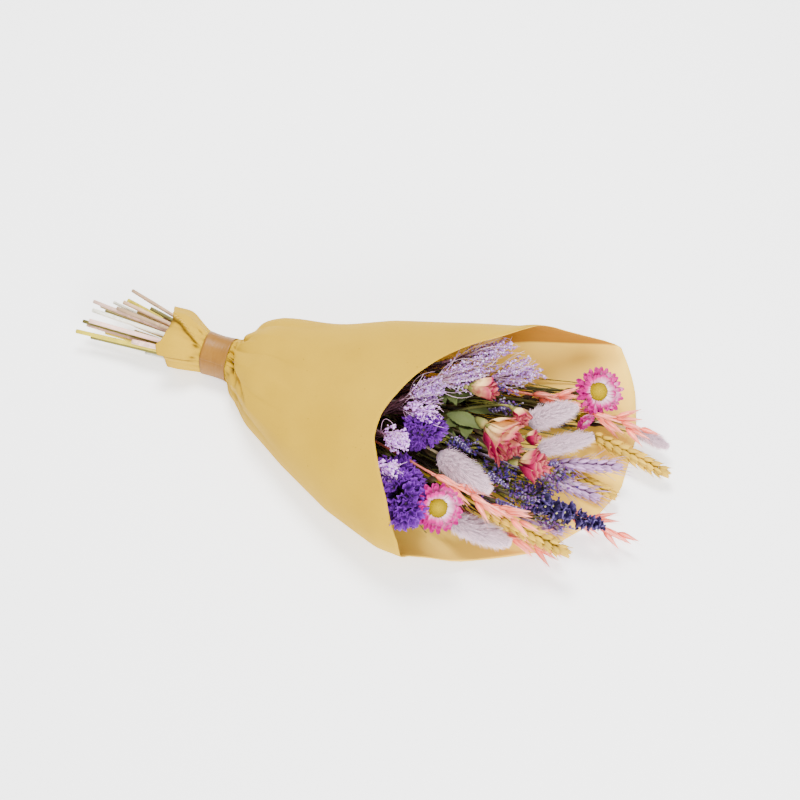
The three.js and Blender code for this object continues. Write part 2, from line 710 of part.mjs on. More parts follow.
const PLANTS = [
  {
    name: "rose_stem_1",
    kind: "rose",
    base: at(226, 8, 64),
    tip: at(255, 13, 70),
    cut: 58,
    flowers: [0],
    leaves: [
      { from: at(206, 6, 58), to: at(215, -6, 67), width: 10 },
      { from: at(214, 6, 60), to: at(224, -6, 68), width: 9 },
    ],
  },
  {
    name: "rose_stem_2",
    kind: "rose",
    base: ROSE_FORK,
    tip: at(262, -18, 62),
    cut: 98,
    flowers: [1, 2, 3, 4],
    leaves: [
      { from: at(228, -13, 52), to: at(222, -26, 64), width: 10 },
      { from: at(236, -16, 54), to: at(240, -30, 66), width: 12 },
    ],
  },
  { name: "daisy_1", kind: "daisy", base: at(328, 63, 30), tip: at(331, 58, 42), cut: 24, radius: 20 },
  {
    name: "daisy_2",
    kind: "daisy",
    base: at(238.5, -94, 60.5),
    tip: at(244, -98.5, 70),
    cut: 112,
    radius: 19,
  },
  {
    name: "daisy_3",
    kind: "daisy",
    base: at(322, 36, 31),
    tip: at(330, 30, 31),
    cut: 84,
    radius: 11,
    petals: 9,
    rise: 0.75,
  },
  { name: "bunny_tail_1", kind: "bunny", base: at(282, 9, 44), tip: at(315, 33, 48), cut: 94, radius: 9.5 },
  { name: "bunny_tail_2", kind: "bunny", base: at(296, -7, 34), tip: at(334, 16, 38), cut: 80, radius: 7.5 },
  {
    name: "bunny_tail_3",
    kind: "bunny",
    base: at(226, -50, 58),
    tip: at(272, -69, 62),
    cut: 104,
    radius: 10.5,
  },
  { name: "bunny_tail_4", kind: "bunny", base: at(248, -86, 26), tip: at(297, -91, 28), cut: 50, radius: 10 },
  { name: "bunny_tail_5", kind: "bunny", base: at(366, 45, 16), tip: at(394, 39, 16), cut: 36, radius: 5 },
  { name: "wheat_1", kind: "wheat", base: at(331, 31, 14), tip: at(402, 15, 14), cut: 40, radius: 7 },
  { name: "wheat_2", kind: "wheat", base: at(264, -72, 38), tip: at(345, -88, 34), cut: 90, radius: 7 },
  {
    name: "wheat_3",
    kind: "wheat",
    base: at(312, -6, 12),
    tip: at(366, -18, 12),
    cut: 30,
    radius: 6,
    levels: 6,
  },
  {
    name: "lilac_wheat_1",
    kind: "wheat",
    base: at(304, -12, 23),
    tip: at(364, 6, 23),
    cut: 32,
    radius: 6,
    levels: 6,
    bristles: 4,
  },
  {
    name: "lilac_wheat_2",
    kind: "wheat",
    base: at(300, -26, 26),
    tip: at(360, -30, 25),
    cut: 26,
    radius: 6,
    levels: 6,
    bristles: 4,
  },
  {
    name: "lilac_wheat_3",
    kind: "wheat",
    base: at(284, -60, 20),
    tip: at(334, -65, 20),
    cut: 24,
    radius: 5.5,
    levels: 6,
    bristles: 4,
  },
  { name: "oat_1", kind: "oat", base: at(224, -70, 64), tip: at(312, -84, 52), cut: 107, seed: 11, pairs: 6 },
  { name: "oat_2", kind: "oat", base: at(272, 42, 30), tip: at(309, 45, 30), cut: 38, seed: 12, pairs: 3 },
  { name: "oat_3", kind: "oat", base: at(322, 46, 22), tip: at(372, 45, 22), cut: 28, seed: 13, pairs: 4 },
  { name: "oat_4", kind: "oat", base: at(286, -78, 17), tip: at(328, -80, 17), cut: 22, seed: 14, pairs: 4 },
  { name: "oat_5", kind: "oat", base: at(325, -44, 17), tip: at(380, -50, 17), cut: 30, seed: 15, pairs: 4 },
  { name: "broom_lilac_1", kind: "broom", base: at(205, 26, 70), tip: at(250, 58, 72), cut: 82, seed: 21 },
  { name: "broom_lilac_2", kind: "broom", base: at(196, -2, 74), tip: at(240, 28, 76), cut: 82, seed: 22 },
  { name: "broom_lilac_3", kind: "broom", base: at(234, 26, 56), tip: at(281, 50, 60), cut: 45, seed: 23 },
  { name: "broom_lilac_4", kind: "broom", base: at(184, -22, 76), tip: at(214, 0, 82), cut: 84, seed: 24 },
  { name: "broom_pale_1", kind: "broom", base: at(182, -26, 68), tip: at(220, -32, 82), cut: 108, seed: 25 },
  { name: "broom_pale_2", kind: "broom", base: at(176, -52, 70), tip: at(202, -62, 83), cut: 103, seed: 26 },
  { name: "broom_pale_3", kind: "broom", base: at(180, -78, 62), tip: at(204, -86, 80), cut: 60, seed: 27 },
  {
    name: "statice_1",
    kind: "statice",
    base: at(198, -45, 64),
    tip: at(220, -37, 74),
    cut: 110,
    radius: 14,
    cups: 13,
  },
  {
    name: "statice_2",
    kind: "statice",
    base: at(194, -74, 46),
    tip: at(218, -108, 60),
    cut: 99,
    radius: 18,
    cups: 17,
  },
  {
    name: "delphinium",
    kind: "delphinium",
    base: at(296, -46, 30),
    tip: at(364, -57, 30),
    cut: 28,
    radius: 12,
  },
  { name: "lavender_1", kind: "lavender", base: at(231, -31, 58), tip: at(248, -42, 62), cut: 102 },
  { name: "lavender_2", kind: "lavender", base: at(264, -48, 50), tip: at(284, -58, 54), cut: 24 },
  { name: "lavender_3", kind: "lavender", base: at(288, -56, 40), tip: at(310, -55, 42), cut: 66 },
  { name: "lavender_4", kind: "lavender", base: at(276, -66, 42), tip: at(300, -68, 44), cut: 26 },
  { name: "lavender_5", kind: "lavender", base: at(296, -18, 30), tip: at(314, -14, 34), cut: 70 },
  { name: "lavender_6", kind: "lavender", base: at(248, 3, 52), tip: at(262, 6, 60), cut: 68 },
];

// Each plant gets a place in the bundle that keeps the order of the fan: by bearing, then by rise.
function placeInBundle(plants) {
  const bearing = ({ base }) => Math.atan2(base.y, base.x - NECK_END);
  const rise = ({ base }) => (base.z - BUNDLE_Z) / (base.x - NECK_END);
  const waiting = [...plants].sort((a, b) => bearing(a) - bearing(b));
  const middle = (BUNDLE_COLUMNS.length - 1) / 2;
  BUNDLE_COLUMNS.forEach((count, column) => {
    const group = waiting.splice(0, count).sort((a, b) => rise(a) - rise(b));
    group.forEach((plant, row) => {
      const y = (column - middle) * STEM_PITCH * Math.sin(Math.PI / 3);
      plant.slot = [y, BUNDLE_Z + (row - (count - 1) / 2) * STEM_PITCH];
    });
  });
}
placeInBundle(PLANTS);

function roseBranches(plant, grow) {
  const parts = [];
  plant.flowers.forEach((index) => {
    const flower = ROSE_FLOWERS[index];
    const { direction } = alongHead(flower);
    const end = flower.base.clone().addScaledVector(direction, -1.5);
    const bendPoint = end.clone().addScaledVector(direction, -12).lerp(plant.base, 0.25);
    if (plant.flowers.length > 1) {
      const start = plant.base.clone().addScaledVector(AHEAD, -2);
      parts.push(bar([start, bendPoint, end], [1.2, 1, 1], 4, grow));
    } else {
      parts.push(bar([plant.base.clone().addScaledVector(AHEAD, -2), end], [1.2, 1.1], 4, grow));
    }
    parts.push(...roseCup(flower, grow));
  });
  return parts.concat(leaves(plant.leaves, grow));
}

// Material of each kind
const paint = (color, roughness) => new THREE.MeshStandardMaterial({ color, roughness, metalness: 0 });
const COLOURS = {
  paper: paint(0xe1c891, 0.85),
  tape: paint(0xcda069, 0.55),
  twine: paint(0xa98252, 0.9),
  green: paint(0x8a8a52, 0.8),
  pink_rose: paint(0xe39aa0, 0.7),
  daisy_pink: paint(0xe6a3c8, 0.6),
  yellow: paint(0xe3cf2a, 0.8),
  down: paint(0xe4e0e8, 0.95),
  straw: paint(0xd9c07a, 0.7),
  lilac_straw: paint(0xc2b2da, 0.7),
  pink_straw: paint(0xeeb3a8, 0.65),
  lilac: paint(0xb3a3da, 0.8),
  pale_lilac: paint(0xdccbe8, 0.8),
  purple: paint(0x6a3fc0, 0.75),
  blue: paint(0x2f2f96, 0.75),
  lavender: paint(0x7668b0, 0.8),
};

// What each kind of plant is made of. "core" parts keep their shape; "head" parts give way.
const KINDS = {
  rose: [{ suffix: "", core: (p, g) => [stem(p, g), ...roseBranches(p, g)], colour: "green" }],
  daisy: [
    { suffix: "_stem", core: (p, g) => [stem(p, g), ...daisyStem(p, g)], colour: "green" },
    { suffix: "_petals", head: daisyPetals, colour: "daisy_pink" },
    { suffix: "_disc", head: daisyDisc, colour: "yellow" },
  ],
  bunny: [{ suffix: "", core: (p, g) => [stem(p, g)], head: bunnyTail, colour: "down" }],
  wheat: [{ suffix: "", core: (p, g) => [stem(p, g)], head: wheatEar, colour: "straw" }],
  oat: [{ suffix: "", core: (p, g) => [stem(p, g)], head: oatPanicle, colour: "pink_straw" }],
  delphinium: [
    { suffix: "_stem", core: (p, g) => [stem(p, g)], colour: "green" },
    { suffix: "_florets", head: delphiniumHead, colour: "blue" },
  ],
  statice: [
    { suffix: "_stem", core: (p, g) => [stem(p, g)], colour: "green" },
    { suffix: "_head", head: staticeHead, colour: "purple" },
  ],
  lavender: [{ suffix: "", core: (p, g) => [stem(p, g)], head: lavenderSpike, colour: "lavender" }],
  broom: [{ suffix: "", core: (p, g) => [stem(p, g)], head: broomSpray, colour: "lilac" }],
};

const NODES = [];
ROSE_FLOWERS.forEach((flower) => {
  NODES.push({ name: flower.name, plant: flower, head: rosePetals, colour: "pink_rose" });
});
Object.keys(KINDS).forEach((kind) => {
  PLANTS.filter((plant) => plant.kind === kind).forEach((plant) => {
    KINDS[kind].forEach(({ suffix, core, head, colour }) => {
      const tint = plant.name.startsWith("lilac") ? "lilac_straw" : colour;
      const shade = plant.name.startsWith("broom_pale") ? "pale_lilac" : tint;
      NODES.push({ name: plant.name + suffix, plant, core, head, colour: shade });
    });
  });
});

// Cuts from a body what would cross it, and keeps the piece that is left.
function clearOf(body, others) {
  const near = others.filter((other) => boxesMeet(body, other));
  return near.length ? largest(body.subtract(wasm.Manifold.union(near))) : body;
}

NODES.forEach((node) => {
  node.coreSolid = node.core && fuse(node.core(node.plant, 0));
  node.coreGrown = node.core && wasm.Manifold.union(node.core(node.plant, CLEAR));
});
const paperGrown = wrapSheet(CLEAR);
NODES.forEach((node, i) => {
  if (!node.coreSolid) return;
  const earlier = NODES.slice(0, i).filter((other) => other.core).map((other) => other.coreGrown);
  node.coreSolid = clearOf(node.coreSolid, [...earlier, paperGrown]);
});
NODES.forEach((node, i) => {
  if (!node.head) return;
  node.headGrown = wasm.Manifold.union(node.head(node.plant, CLEAR));
  const cores = NODES.filter((other) => other.core && other !== node).map((other) => other.coreGrown);
  const heads = NODES.slice(0, i).filter((other) => other.head).map((other) => other.headGrown);
  const head = clearOf(fuse(node.head(node.plant, 0)), [...cores, ...heads, paperGrown]);
  node.body = node.coreSolid ? fuse([node.coreSolid, head]) : head;
});

// The bouquet
const bouquet = new THREE.Group();
bouquet.position.set(-REST_X, -REST_Y, 0);

function addPiece(name, body, material) {
  const { vertProperties, triVerts } = body.getMesh();
  const geometry = new THREE.BufferGeometry();
  geometry.setAttribute("position", new THREE.BufferAttribute(new Float32Array(vertProperties), 3));
  geometry.setIndex(new THREE.BufferAttribute(new Uint32Array(triVerts), 1));
  geometry.computeVertexNormals();
  const mesh = new THREE.Mesh(geometry, material);
  mesh.name = name;
  bouquet.add(mesh);
}

addPiece("paper_wrap", wrapSheet(), COLOURS.paper);
addPiece("paper_tape", tapeBand(), COLOURS.tape);
addPiece("stem_tie", stemTie(), COLOURS.twine);
NODES.forEach((node) => {
  const body = largest((node.body ?? node.coreSolid).asOriginal().simplify(FINEST));
  addPiece(node.name, body, COLOURS[node.colour]);
});

export default bouquet;
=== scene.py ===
"""A bouquet of dried flowers and grasses lying in a kraft paper wrap.

Lengths in the bouquet's own layout are millimetres: X runs from the cut stems to the flower tips,
Y across and Z up, and the paper lies on z = 0. Finished meshes are in metres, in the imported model's
frame. Most pieces are bunches of closed bodies, and each body is a stack of rings of points.
"""

import bpy
import numpy as np
from bpy.props import FloatProperty, FloatVectorProperty, IntProperty, PointerProperty
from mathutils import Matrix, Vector


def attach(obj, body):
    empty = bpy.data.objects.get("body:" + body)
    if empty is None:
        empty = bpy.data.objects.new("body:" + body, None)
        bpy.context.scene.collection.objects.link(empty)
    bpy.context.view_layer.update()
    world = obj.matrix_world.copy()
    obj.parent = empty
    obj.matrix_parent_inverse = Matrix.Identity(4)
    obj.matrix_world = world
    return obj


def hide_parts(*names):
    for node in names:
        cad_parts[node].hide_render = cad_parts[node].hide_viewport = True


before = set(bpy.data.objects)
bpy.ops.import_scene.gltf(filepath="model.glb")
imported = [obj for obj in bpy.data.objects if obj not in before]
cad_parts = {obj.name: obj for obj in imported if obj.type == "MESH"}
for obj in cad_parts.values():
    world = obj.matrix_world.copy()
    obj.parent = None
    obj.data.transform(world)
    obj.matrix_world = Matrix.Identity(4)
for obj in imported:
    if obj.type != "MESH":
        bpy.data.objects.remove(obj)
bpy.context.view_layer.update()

bl_info = {
    "name": "Mixed Flower Bouquet",
    "version": (1, 0, 0),
    "blender": (4, 5, 0),
    "location": "View3D > Sidebar > Bouquet",
    "description": "Builds a bouquet of dried flowers in a kraft paper wrap",
    "category": "Add Mesh",
}

MM = 0.001
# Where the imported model's origin lies in the layout
REST = np.array([204.0, -18.0, 0.0])
# Turn from one petal, husk or floret to the next, in radians
GOLDEN = 2.4
# How far colours are moved away from their grey
VIVID = 1.55

# The stems run straight between these two places along X
NECK_START = -6.0
NECK_END = 40.0
# The stem bundle there: its height, the pitch of its stems, and how many stems each column has
BUNDLE_Z = 19.0
STEM_PITCH = 4.5
BUNDLE_COLUMNS = (4, 5, 6, 7, 6, 5, 4)
# The tape: its edges along X, the angle where it starts, and how far it goes past one turn
TAPE = (2.0, 25.0)
TAPE_START = 205
TAPE_LAP = 28

# Height of the wrap's widest line in a section, and how softly its sections run into each other
WIDEST = 0.4
SECTION_SOFT = 5.0
# The angle where the sheet starts, and its pleats and fine pleats in one turn
SHEET_START = 18
PLEATS = 9
FINE_PLEATS = 23
# The slanting crease in the collar: its angle at X = 0, and what each millimetre along X adds
CREASE = (199, 1.35)
# The angles of the edge of the collar's folded layer and of the middle of the far rim
LAYER_EDGE = 241
FAR_RIM = 120

# Cross-sections of the wrap: place along X, half width, top, bottom, centre line in Y
SECTIONS = np.array(
    [
        (-60, 24, 41, 0.8, 0),
        (-48, 24, 42, 1, 0),
        (-36, 24.2, 43.5, 1.2, 0.5),
        (-20, 25, 45, 1.5, 2),
        (0, 16.8, 37.2, 2, 0),
        (13, 16.2, 35.8, 2, 0),
        (26, 17.2, 36.6, 2, 0),
        (31, 22, 40, 0.8, -2),
        (38, 28, 44, 0, -5),
        (60, 45, 57, 0, -9),
        (100, 65, 71, 0, -16.5),
        (150, 88, 86, 0, -22),
        (200, 103.4, 95, 0, -25.6),
        (260, 114.4, 98, 0, -19.6),
        (320, 116.2, 94, 0, -9.8),
        (380, 113, 88, 0, -1),
    ],
    float,
)

# The rim of the paper: angle round it from the bottom, and place along X
RIM = np.array(
    [(0, 367), (25, 367), (50, 356), (75, 341), (84, 336), (90, 334), (95, 313), (104, 287), (115, 271),
     (126, 260), (131, 252), (137, 242), (142, 230), (149, 217), (155, 208), (162, 199), (170, 190),
     (179, 183), (185, 179), (192, 176), (199, 176), (205, 177), (220, 190), (231, 201), (243, 208.5),
     (257, 216.5), (268, 219), (283, 220.5), (293, 224), (301, 238), (312, 275), (326, 322), (342, 350),
     (360, 367)],
    float,
)
# The edge of its collar: angle, and how far it is behind X = 0
COLLAR_EDGE = np.array(
    [(0, 26), (60, 30), (90, 35), (105, 36), (124, 36), (140, 33.5), (152, 31), (166, 31), (185, 29.5),
     (205, 29.5), (215, 31), (223, 34.5), (228, 33.5), (240, 31), (244, 27.5), (264, 27), (290, 26),
     (310, 25), (360, 26)],
    float,
)
# The folded edge of its front panel: angle, and place along X
PANEL_EDGE = np.array(
    [(0, 44), (60, 50), (118, 54), (133, 49), (150, 42), (165, 38), (185, 34), (192, 35), (199, 38),
     (214, 48), (230, 60), (260, 68), (300, 50), (360, 44)],
    float,
)

# Small pinched folds beside the tape: place along X, angle, half sizes along and round, depth
PINCHES = (
    (32, 191, 5.6, 4.8, 10), (37.5, 203, 6, 8.5, 11), (30, 216, 4.4, 6.2, 10), (39, 161, 7.5, 4.4, 8),
    (30, 174, 2.6, 2.6, 3.6), (31.5, 228, 3.4, 3, 4), (29, 204, 2.2, 2.4, 3.4), (44, 222, 5, 3, 3),
    (-3.5, 205, 2.6, 4, 2.2), (-4, 168, 2.6, 4, 1.8), (-4.5, 236, 2.6, 4, 2),
)


class Plant:
    """One plant: its flower head runs from base to tip, and its stem is cut off behind the neck."""

    def __init__(self, name, base, tip, cut, radius=8.0, seed=1, count=0):
        self.name = name
        self.base = np.array(base, float)
        self.cut, self.radius, self.seed, self.count = cut, radius, seed, count
        self.slot = (0.0, BUNDLE_Z)
        self.length = np.linalg.norm(tip - self.base)
        self.way = (tip - self.base) / self.length
        self.side, self.top = square(self.way)

    def at(self, share):
        """Points of the head's axis at shares of its length."""
        return self.base + self.way * self.length * np.asarray(share, float)[..., None]

    def out(self, turn):
        """Directions square to the axis: sin(turn) side + cos(turn) top."""
        return np.sin(turn)[..., None] * self.side + np.cos(turn)[..., None] * self.top

    def lean(self, turn, tilt):
        """Directions that lean from the axis by tilt, turned round it."""
        return lean(self.way, turn, tilt, self.side, self.top)


# Rows and rings of points


def unit(v):
    """Vectors over their lengths."""
    return v / np.maximum(np.linalg.norm(v, axis=-1, keepdims=True), 1e-9)


def square(way):
    """Side is way x up, and top is side x way; where way is nearly upright, up gives way to X."""
    way = unit(np.asarray(way, float))
    steep = np.abs(way[..., 2:]) > 0.95
    side = unit(np.cross(way, np.where(steep, [1.0, 0.0, 0.0], [0.0, 0.0, 1.0])))
    return side, np.cross(side, way)


def lean(way, turn, tilt, side=None, top=None):
    """cos(tilt) way + sin(tilt) (sin(turn) side + cos(turn) top)."""
    if side is None:
        side, top = square(way)
    turn, tilt = np.asarray(turn, float)[..., None], np.asarray(tilt, float)[..., None]
    return unit(np.cos(tilt) * way + np.sin(tilt) * (np.sin(turn) * side + np.cos(turn) * top))


def smooth(t, low=0.0, high=1.0):
    """3 t^2 - 2 t^3 of t scaled to run from 0 at low to 1 at high."""
    t = np.clip((np.asarray(t, float) - low) / (high - low), 0, 1)
    return t * t * (3 - 2 * t)


def span(t, rise, high, fall, low):
    """Goes up smoothly from 0 at rise to 1 at high, and back down from fall to low."""
    return smooth(t, rise, high) * (1 - smooth(t, fall, low))


def hump(t, middle, reach):
    """exp(-((t - middle) / reach)^2)."""
    return np.exp(-(((t - middle) / reach) ** 2))


def zigzag(turns):
    """A triangle wave between -1 and 1, once down and up for each turn."""
    return 2 * np.abs(2 * (turns % 1) - 1) - 1


def eased(table, at, soft, column=1):
    """A table read by straight lines, then averaged over a window that is soft either way."""
    steps = np.linspace(-soft, soft, 9)
    weights = np.cos(steps / soft * np.pi / 2.2)
    reads = [np.interp(np.asarray(at) + step, table[:, 0], table[:, column]) for step in steps]
    return np.tensordot(weights, reads, 1) / weights.sum()


def ripple(u, v, seed, waves=6):
    """A sum of sine waves over two parameters, each with its own direction, pitch and start."""
    draw = np.random.default_rng(seed)
    total = 0
    for n in range(waves):
        a, b, start = draw.normal(), draw.normal(), draw.uniform(0, 6.283)
        total = total + np.sin(a * u + b * v + start) / (1 + 0.3 * n)
    return total / np.sqrt(waves)


def circle(count):
    """Angles evenly round one turn."""
    return np.arange(count) * 2 * np.pi / count


def ring(side, top, sides, flat=1.0):
    """Points round a unit circle: cos(a) flat top + sin(a) side."""
    angle = circle(sides)[:, None]
    return np.cos(angle) * flat * top[..., None, :] + np.sin(angle) * side[..., None, :]


def tube(path, radius, sides=6):
    """Rings round paths, square to them, each centre + radius times a unit circle."""
    radius = np.broadcast_to(radius, path.shape[:-1])[..., None, None]
    return path[..., None, :] + radius * ring(*square(np.gradient(path, axis=-2)), sides)


def spindles(base, way, length, radius, profile, sides=6, flat=1.0, bow=0.0):
    """Grains, buds and beads: straight or slightly bowed axes with a radius profile from end to end.

    Axis point at s is base + way length s + top bow length (4 s (1 - s)).
    """
    shares, sizes = np.array(profile, float).T
    base, way = np.atleast_2d(base), np.atleast_2d(unit(way))
    side, top = square(way)
    length = np.broadcast_to(length, len(base))[:, None, None]
    along = way[:, None] * length * shares[:, None]
    rise = bow * length * (4 * shares * (1 - shares))[:, None]
    size = np.broadcast_to(radius, len(base))[:, None, None, None] * sizes[:, None, None]
    axis = base[:, None] + along + rise * top[:, None]
    return axis[:, :, None] + size * ring(side, top, sides, flat)[:, None]


def blades(base, way, face, length, width, outline, bend=0.0, cup=0.3, thick=0.3, across=5,
           ruffle=0.5, waves=3, seed=0):
    """Petals, leaves and husks: thin closed blades.

    The spine turns from way towards face by bend over its length. At each place of the spine the
    blade reaches half its width times the outline to either side, lifts by cup times the square of
    the way out, and its rim goes up and down by ruffle in waves.
    """
    shares, wide = np.array(outline, float).T
    base, way, face = np.atleast_2d(base), np.atleast_2d(unit(way)), np.atleast_2d(face)
    count = len(base)
    side = unit(np.cross(way, face))
    face = np.cross(side, way)
    bend, length, width = (np.broadcast_to(value, count)[:, None] for value in (bend, length, width))
    angle = bend * shares
    step = np.diff(shares, prepend=0)
    forth = np.cumsum(np.cos(angle) * step, axis=1) * length
    rise = np.cumsum(np.sin(angle) * step, axis=1) * length
    spine = base[:, None] + way[:, None] * forth[..., None] + face[:, None] * rise[..., None]
    normal = face[:, None] * np.cos(angle)[..., None] - way[:, None] * np.sin(angle)[..., None]
    v = np.linspace(-1, 1, across)
    half = width / 2 * wide
    phase = np.random.default_rng(seed).uniform(0, 6.28, (count, 1, 2))[..., :1]
    wave = np.sin(waves * shares[:, None] * 3.1 + 2.5 * np.abs(v) + phase + 1.7 * np.sign(v))
    wave = wave * v**2 * shares[:, None] ** 1.5
    height = cup * half[..., None] * v**2 + ruffle * wave
    out = (half[..., None] * v)[..., None] * side[:, None, None] + height[..., None] * normal[:, :, None]
    wall = (thick / 2 * (0.35 + 0.65 * (1 - v**2)))[:, None] * normal[:, :, None]
    front, back = spine[:, :, None] + out + wall, spine[:, :, None] + out - wall
    return np.concatenate([front, back[:, :, ::-1]], axis=2)


class Bunch:
    """Closed bodies that are put together in one mesh, with two numbers at each point: how far along
    its body it is, and the body's own tone."""

    def __init__(self):
        self.points, self.quads, self.triangles, self.along, self.tone = [], [], [], [], []
        self.count = 0

    def add(self, rings, along=None, tone=0.5):
        """Takes points as (bodies, rings, sides, 3) and joins ring to ring. Each end is closed with flat
        strips. A body whose volume comes out negative has its faces turned round."""
        rings = rings if rings.ndim == 4 else rings[None]
        bodies, levels, sides, _ = rings.shape
        flat = rings.reshape(bodies, -1, 3)
        i, j = np.meshgrid(np.arange(levels - 1), np.arange(sides), indexing="ij")
        k = (j + 1) % sides
        wall = np.stack([i * sides + j, i * sides + k, (i + 1) * sides + k, (i + 1) * sides + j], -1)
        n = np.arange(sides // 2 - 1 if sides % 2 == 0 else (sides - 3) // 2)
        strip = np.stack([n + 1, n, sides - 1 - n, sides - 2 - n], -1)
        end = (levels - 1) * sides
        quads = np.concatenate([wall.reshape(-1, 4), strip, strip[:, ::-1] + end])
        triangles = np.zeros((0, 3), int)
        if sides % 2:
            m = (sides - 3) // 2
            triangles = np.array([[m + 1, m, m + 2], [end + m, end + m + 1, end + m + 2]])
        fans = np.concatenate([quads[:, [0, 1, 2]], quads[:, [0, 2, 3]], triangles])
        a, b, c = np.moveaxis((flat - flat.mean(axis=1, keepdims=True))[:, fans], 2, 0)
        turned = np.einsum("nqi,nqi->n", a, np.cross(b, c)) < 0
        start = self.count + np.arange(bodies) * levels * sides
        for faces, store in ((quads, self.quads), (triangles, self.triangles)):
            placed = faces[None] + start[:, None, None]
            placed = np.where(turned[:, None, None], placed[..., ::-1], placed)
            store.append(placed.reshape(-1, faces.shape[1]))
        along = np.linspace(0, 1, levels) if along is None else np.asarray(along, float)
        along = along[..., None] if along.ndim < 3 else along
        self.points.append(flat.reshape(-1, 3))
        self.along.append(np.broadcast_to(along, (bodies, levels, sides)).reshape(-1))
        self.tone.append(np.repeat(np.broadcast_to(tone, bodies), levels * sides))
        self.count += bodies * levels * sides

    def piece(self, name, material, slot, *nodes):
        """Makes the object in metres, lets it ride on the root body and stand for its nodes."""
        points = (np.concatenate(self.points) - REST) * MM
        quads, triangles = np.concatenate(self.quads), np.concatenate(self.triangles)
        mesh = bpy.data.meshes.new(name)
        mesh.vertices.add(len(points))
        mesh.vertices.foreach_set("co", points.ravel())
        corners = np.concatenate([quads.ravel(), triangles.ravel()])
        mesh.loops.add(len(corners))
        mesh.loops.foreach_set("vertex_index", corners)
        mesh.polygons.add(len(quads) + len(triangles))
        starts = np.concatenate([np.arange(len(quads)) * 4, quads.size + np.arange(len(triangles)) * 3])
        mesh.polygons.foreach_set("loop_start", starts)
        mesh.polygons.foreach_set("use_smooth", np.ones(len(starts), bool))
        mesh.update(calc_edges=True)
        for mark, values in (("along", self.along), ("tone", self.tone)):
            attribute = mesh.attributes.new(mark, "FLOAT", "POINT")
            attribute.data.foreach_set("value", np.concatenate(values))
        mesh.materials.append(material)
        made = bpy.data.objects.new(name, mesh)
        bpy.context.scene.collection.objects.link(made)
        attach(made, "root")
        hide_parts(*nodes)


# Materials


class Wire:
    """A node's output. Its operators add Math nodes."""

    def __init__(self, paint, socket):
        self.paint, self.socket = paint, socket

    def math(self, operation, a, b):
        """A Math node on two values or wires."""
        return self.paint.node("Math", {"operation": operation}, {0: a, 1: b})["Value"]

    def __add__(self, other):
        return self.math("ADD", self, other)

    def __sub__(self, other):
        return self.math("SUBTRACT", self, other)

    def __rsub__(self, other):
        return self.math("SUBTRACT", other, self)

    def __mul__(self, other):
        return self.math("MULTIPLY", self, other)

    def __lt__(self, other):
        return self.math("LESS_THAN", self, other)

    __radd__ = __add__
    __rmul__ = __mul__


class Paint:
    """A node material with one Principled shader. Constants are set on the shader's own sockets."""

    def __init__(self, name, **constants):
        self.material = bpy.data.materials.new(name)
        self.material.use_nodes = True
        self.nodes, self.links = self.material.node_tree.nodes, self.material.node_tree.links
        self.nodes.clear()
        self.shader = self.nodes.new("ShaderNodeBsdfPrincipled")
        self.links.new(self.shader.outputs[0], self.nodes.new("ShaderNodeOutputMaterial").inputs[0])
        for key, value in constants.items():
            self.shader.inputs[key.replace("_", " ")].default_value = value

    def node(self, kind, settings=None, inputs=None):
        """Adds a node: its settings first, then a value or a wire for each of its sockets."""
        node = self.nodes.new("ShaderNode" + kind)
        for key, value in (settings or {}).items():
            if key == "stops":
                while len(node.color_ramp.elements) < len(value):
                    node.color_ramp.elements.new(1)
                for element, (place, colour) in zip(node.color_ramp.elements, value):
                    element.position, element.color = place, (*colour, 1)
            else:
                setattr(node, key, value)
        for key, value in (inputs or {}).items():
            self.feed(node.inputs[key], value)
        return {socket.name: Wire(self, socket) for socket in node.outputs if socket.enabled}

    def feed(self, socket, value):
        """Links a wire to a socket, or sets the socket's own value."""
        if isinstance(value, Wire):
            self.links.new(value.socket, socket)
        elif socket.type == "RGBA" and len(value) == 3:
            socket.default_value = (*value, 1)
        else:
            socket.default_value = value

    def mark(self, name):
        """One of the numbers kept at each point: along or tone."""
        return self.node("Attribute", {"attribute_name": name})["Fac"]

    def noise(self, scale, detail=3.0, stretch=(1, 1, 1)):
        """Noise on Object coordinates, evenly either side of 0."""
        where = self.node("TexCoord")["Object"]
        where = self.node("Mapping", None, {"Vector": where, "Scale": stretch})["Vector"]
        inputs = {"Vector": where, "Scale": scale, "Detail": detail, "Roughness": 0.55}
        return self.node("TexNoise", None, inputs)["Fac"] - 0.5

    def rise(self, value, low, high, most=1.0):
        """A value that goes from 0 at low to most at high."""
        return self.node("MapRange", None, {0: value, 1: low, 2: high, 4: most})["Result"]

    def ramp(self, factor, stops):
        """A colour ramp with a stop at each place."""
        return self.node("ValToRGB", {"stops": stops}, {0: factor})["Color"]

    def mix(self, factor, a, b, blend="MIX"):
        """Two colours mixed by a factor."""
        settings = {"data_type": "RGBA", "blend_type": blend}
        return self.node("Mix", settings, {0: factor, 6: a, 7: b})["Result"]

    def finish(self, colour, roughness, height=None, strength=0.3, distance=0.0003):
        """Feeds the shader and gives the material, with a bump where there is a height."""
        self.feed(self.shader.inputs["Base Color"], colour)
        self.feed(self.shader.inputs["Roughness"], roughness)
        if height is not None:
            inputs = {"Height": height, "Strength": strength, "Distance": distance}
            self.feed(self.shader.inputs["Normal"], self.node("Bump", None, inputs)["Normal"])
        return self.material


def seen(red, green, blue):
    """A colour as it is seen, 0 to 255, in the linear numbers that shaders take, moved away from its
    grey by VIVID, because the display softens colours."""
    c = np.array([red, green, blue]) / 255
    c = np.where(c <= 0.04045, c / 12.92, ((c + 0.055) / 1.055) ** 2.4)
    grey = c @ [0.3, 0.6, 0.1]
    return tuple(np.clip(grey + (c - grey) * VIVID, 0.0005, 0.95))


def darker(colour, by):
    """A colour times a number."""
    return tuple(np.array(colour[:]) * by)


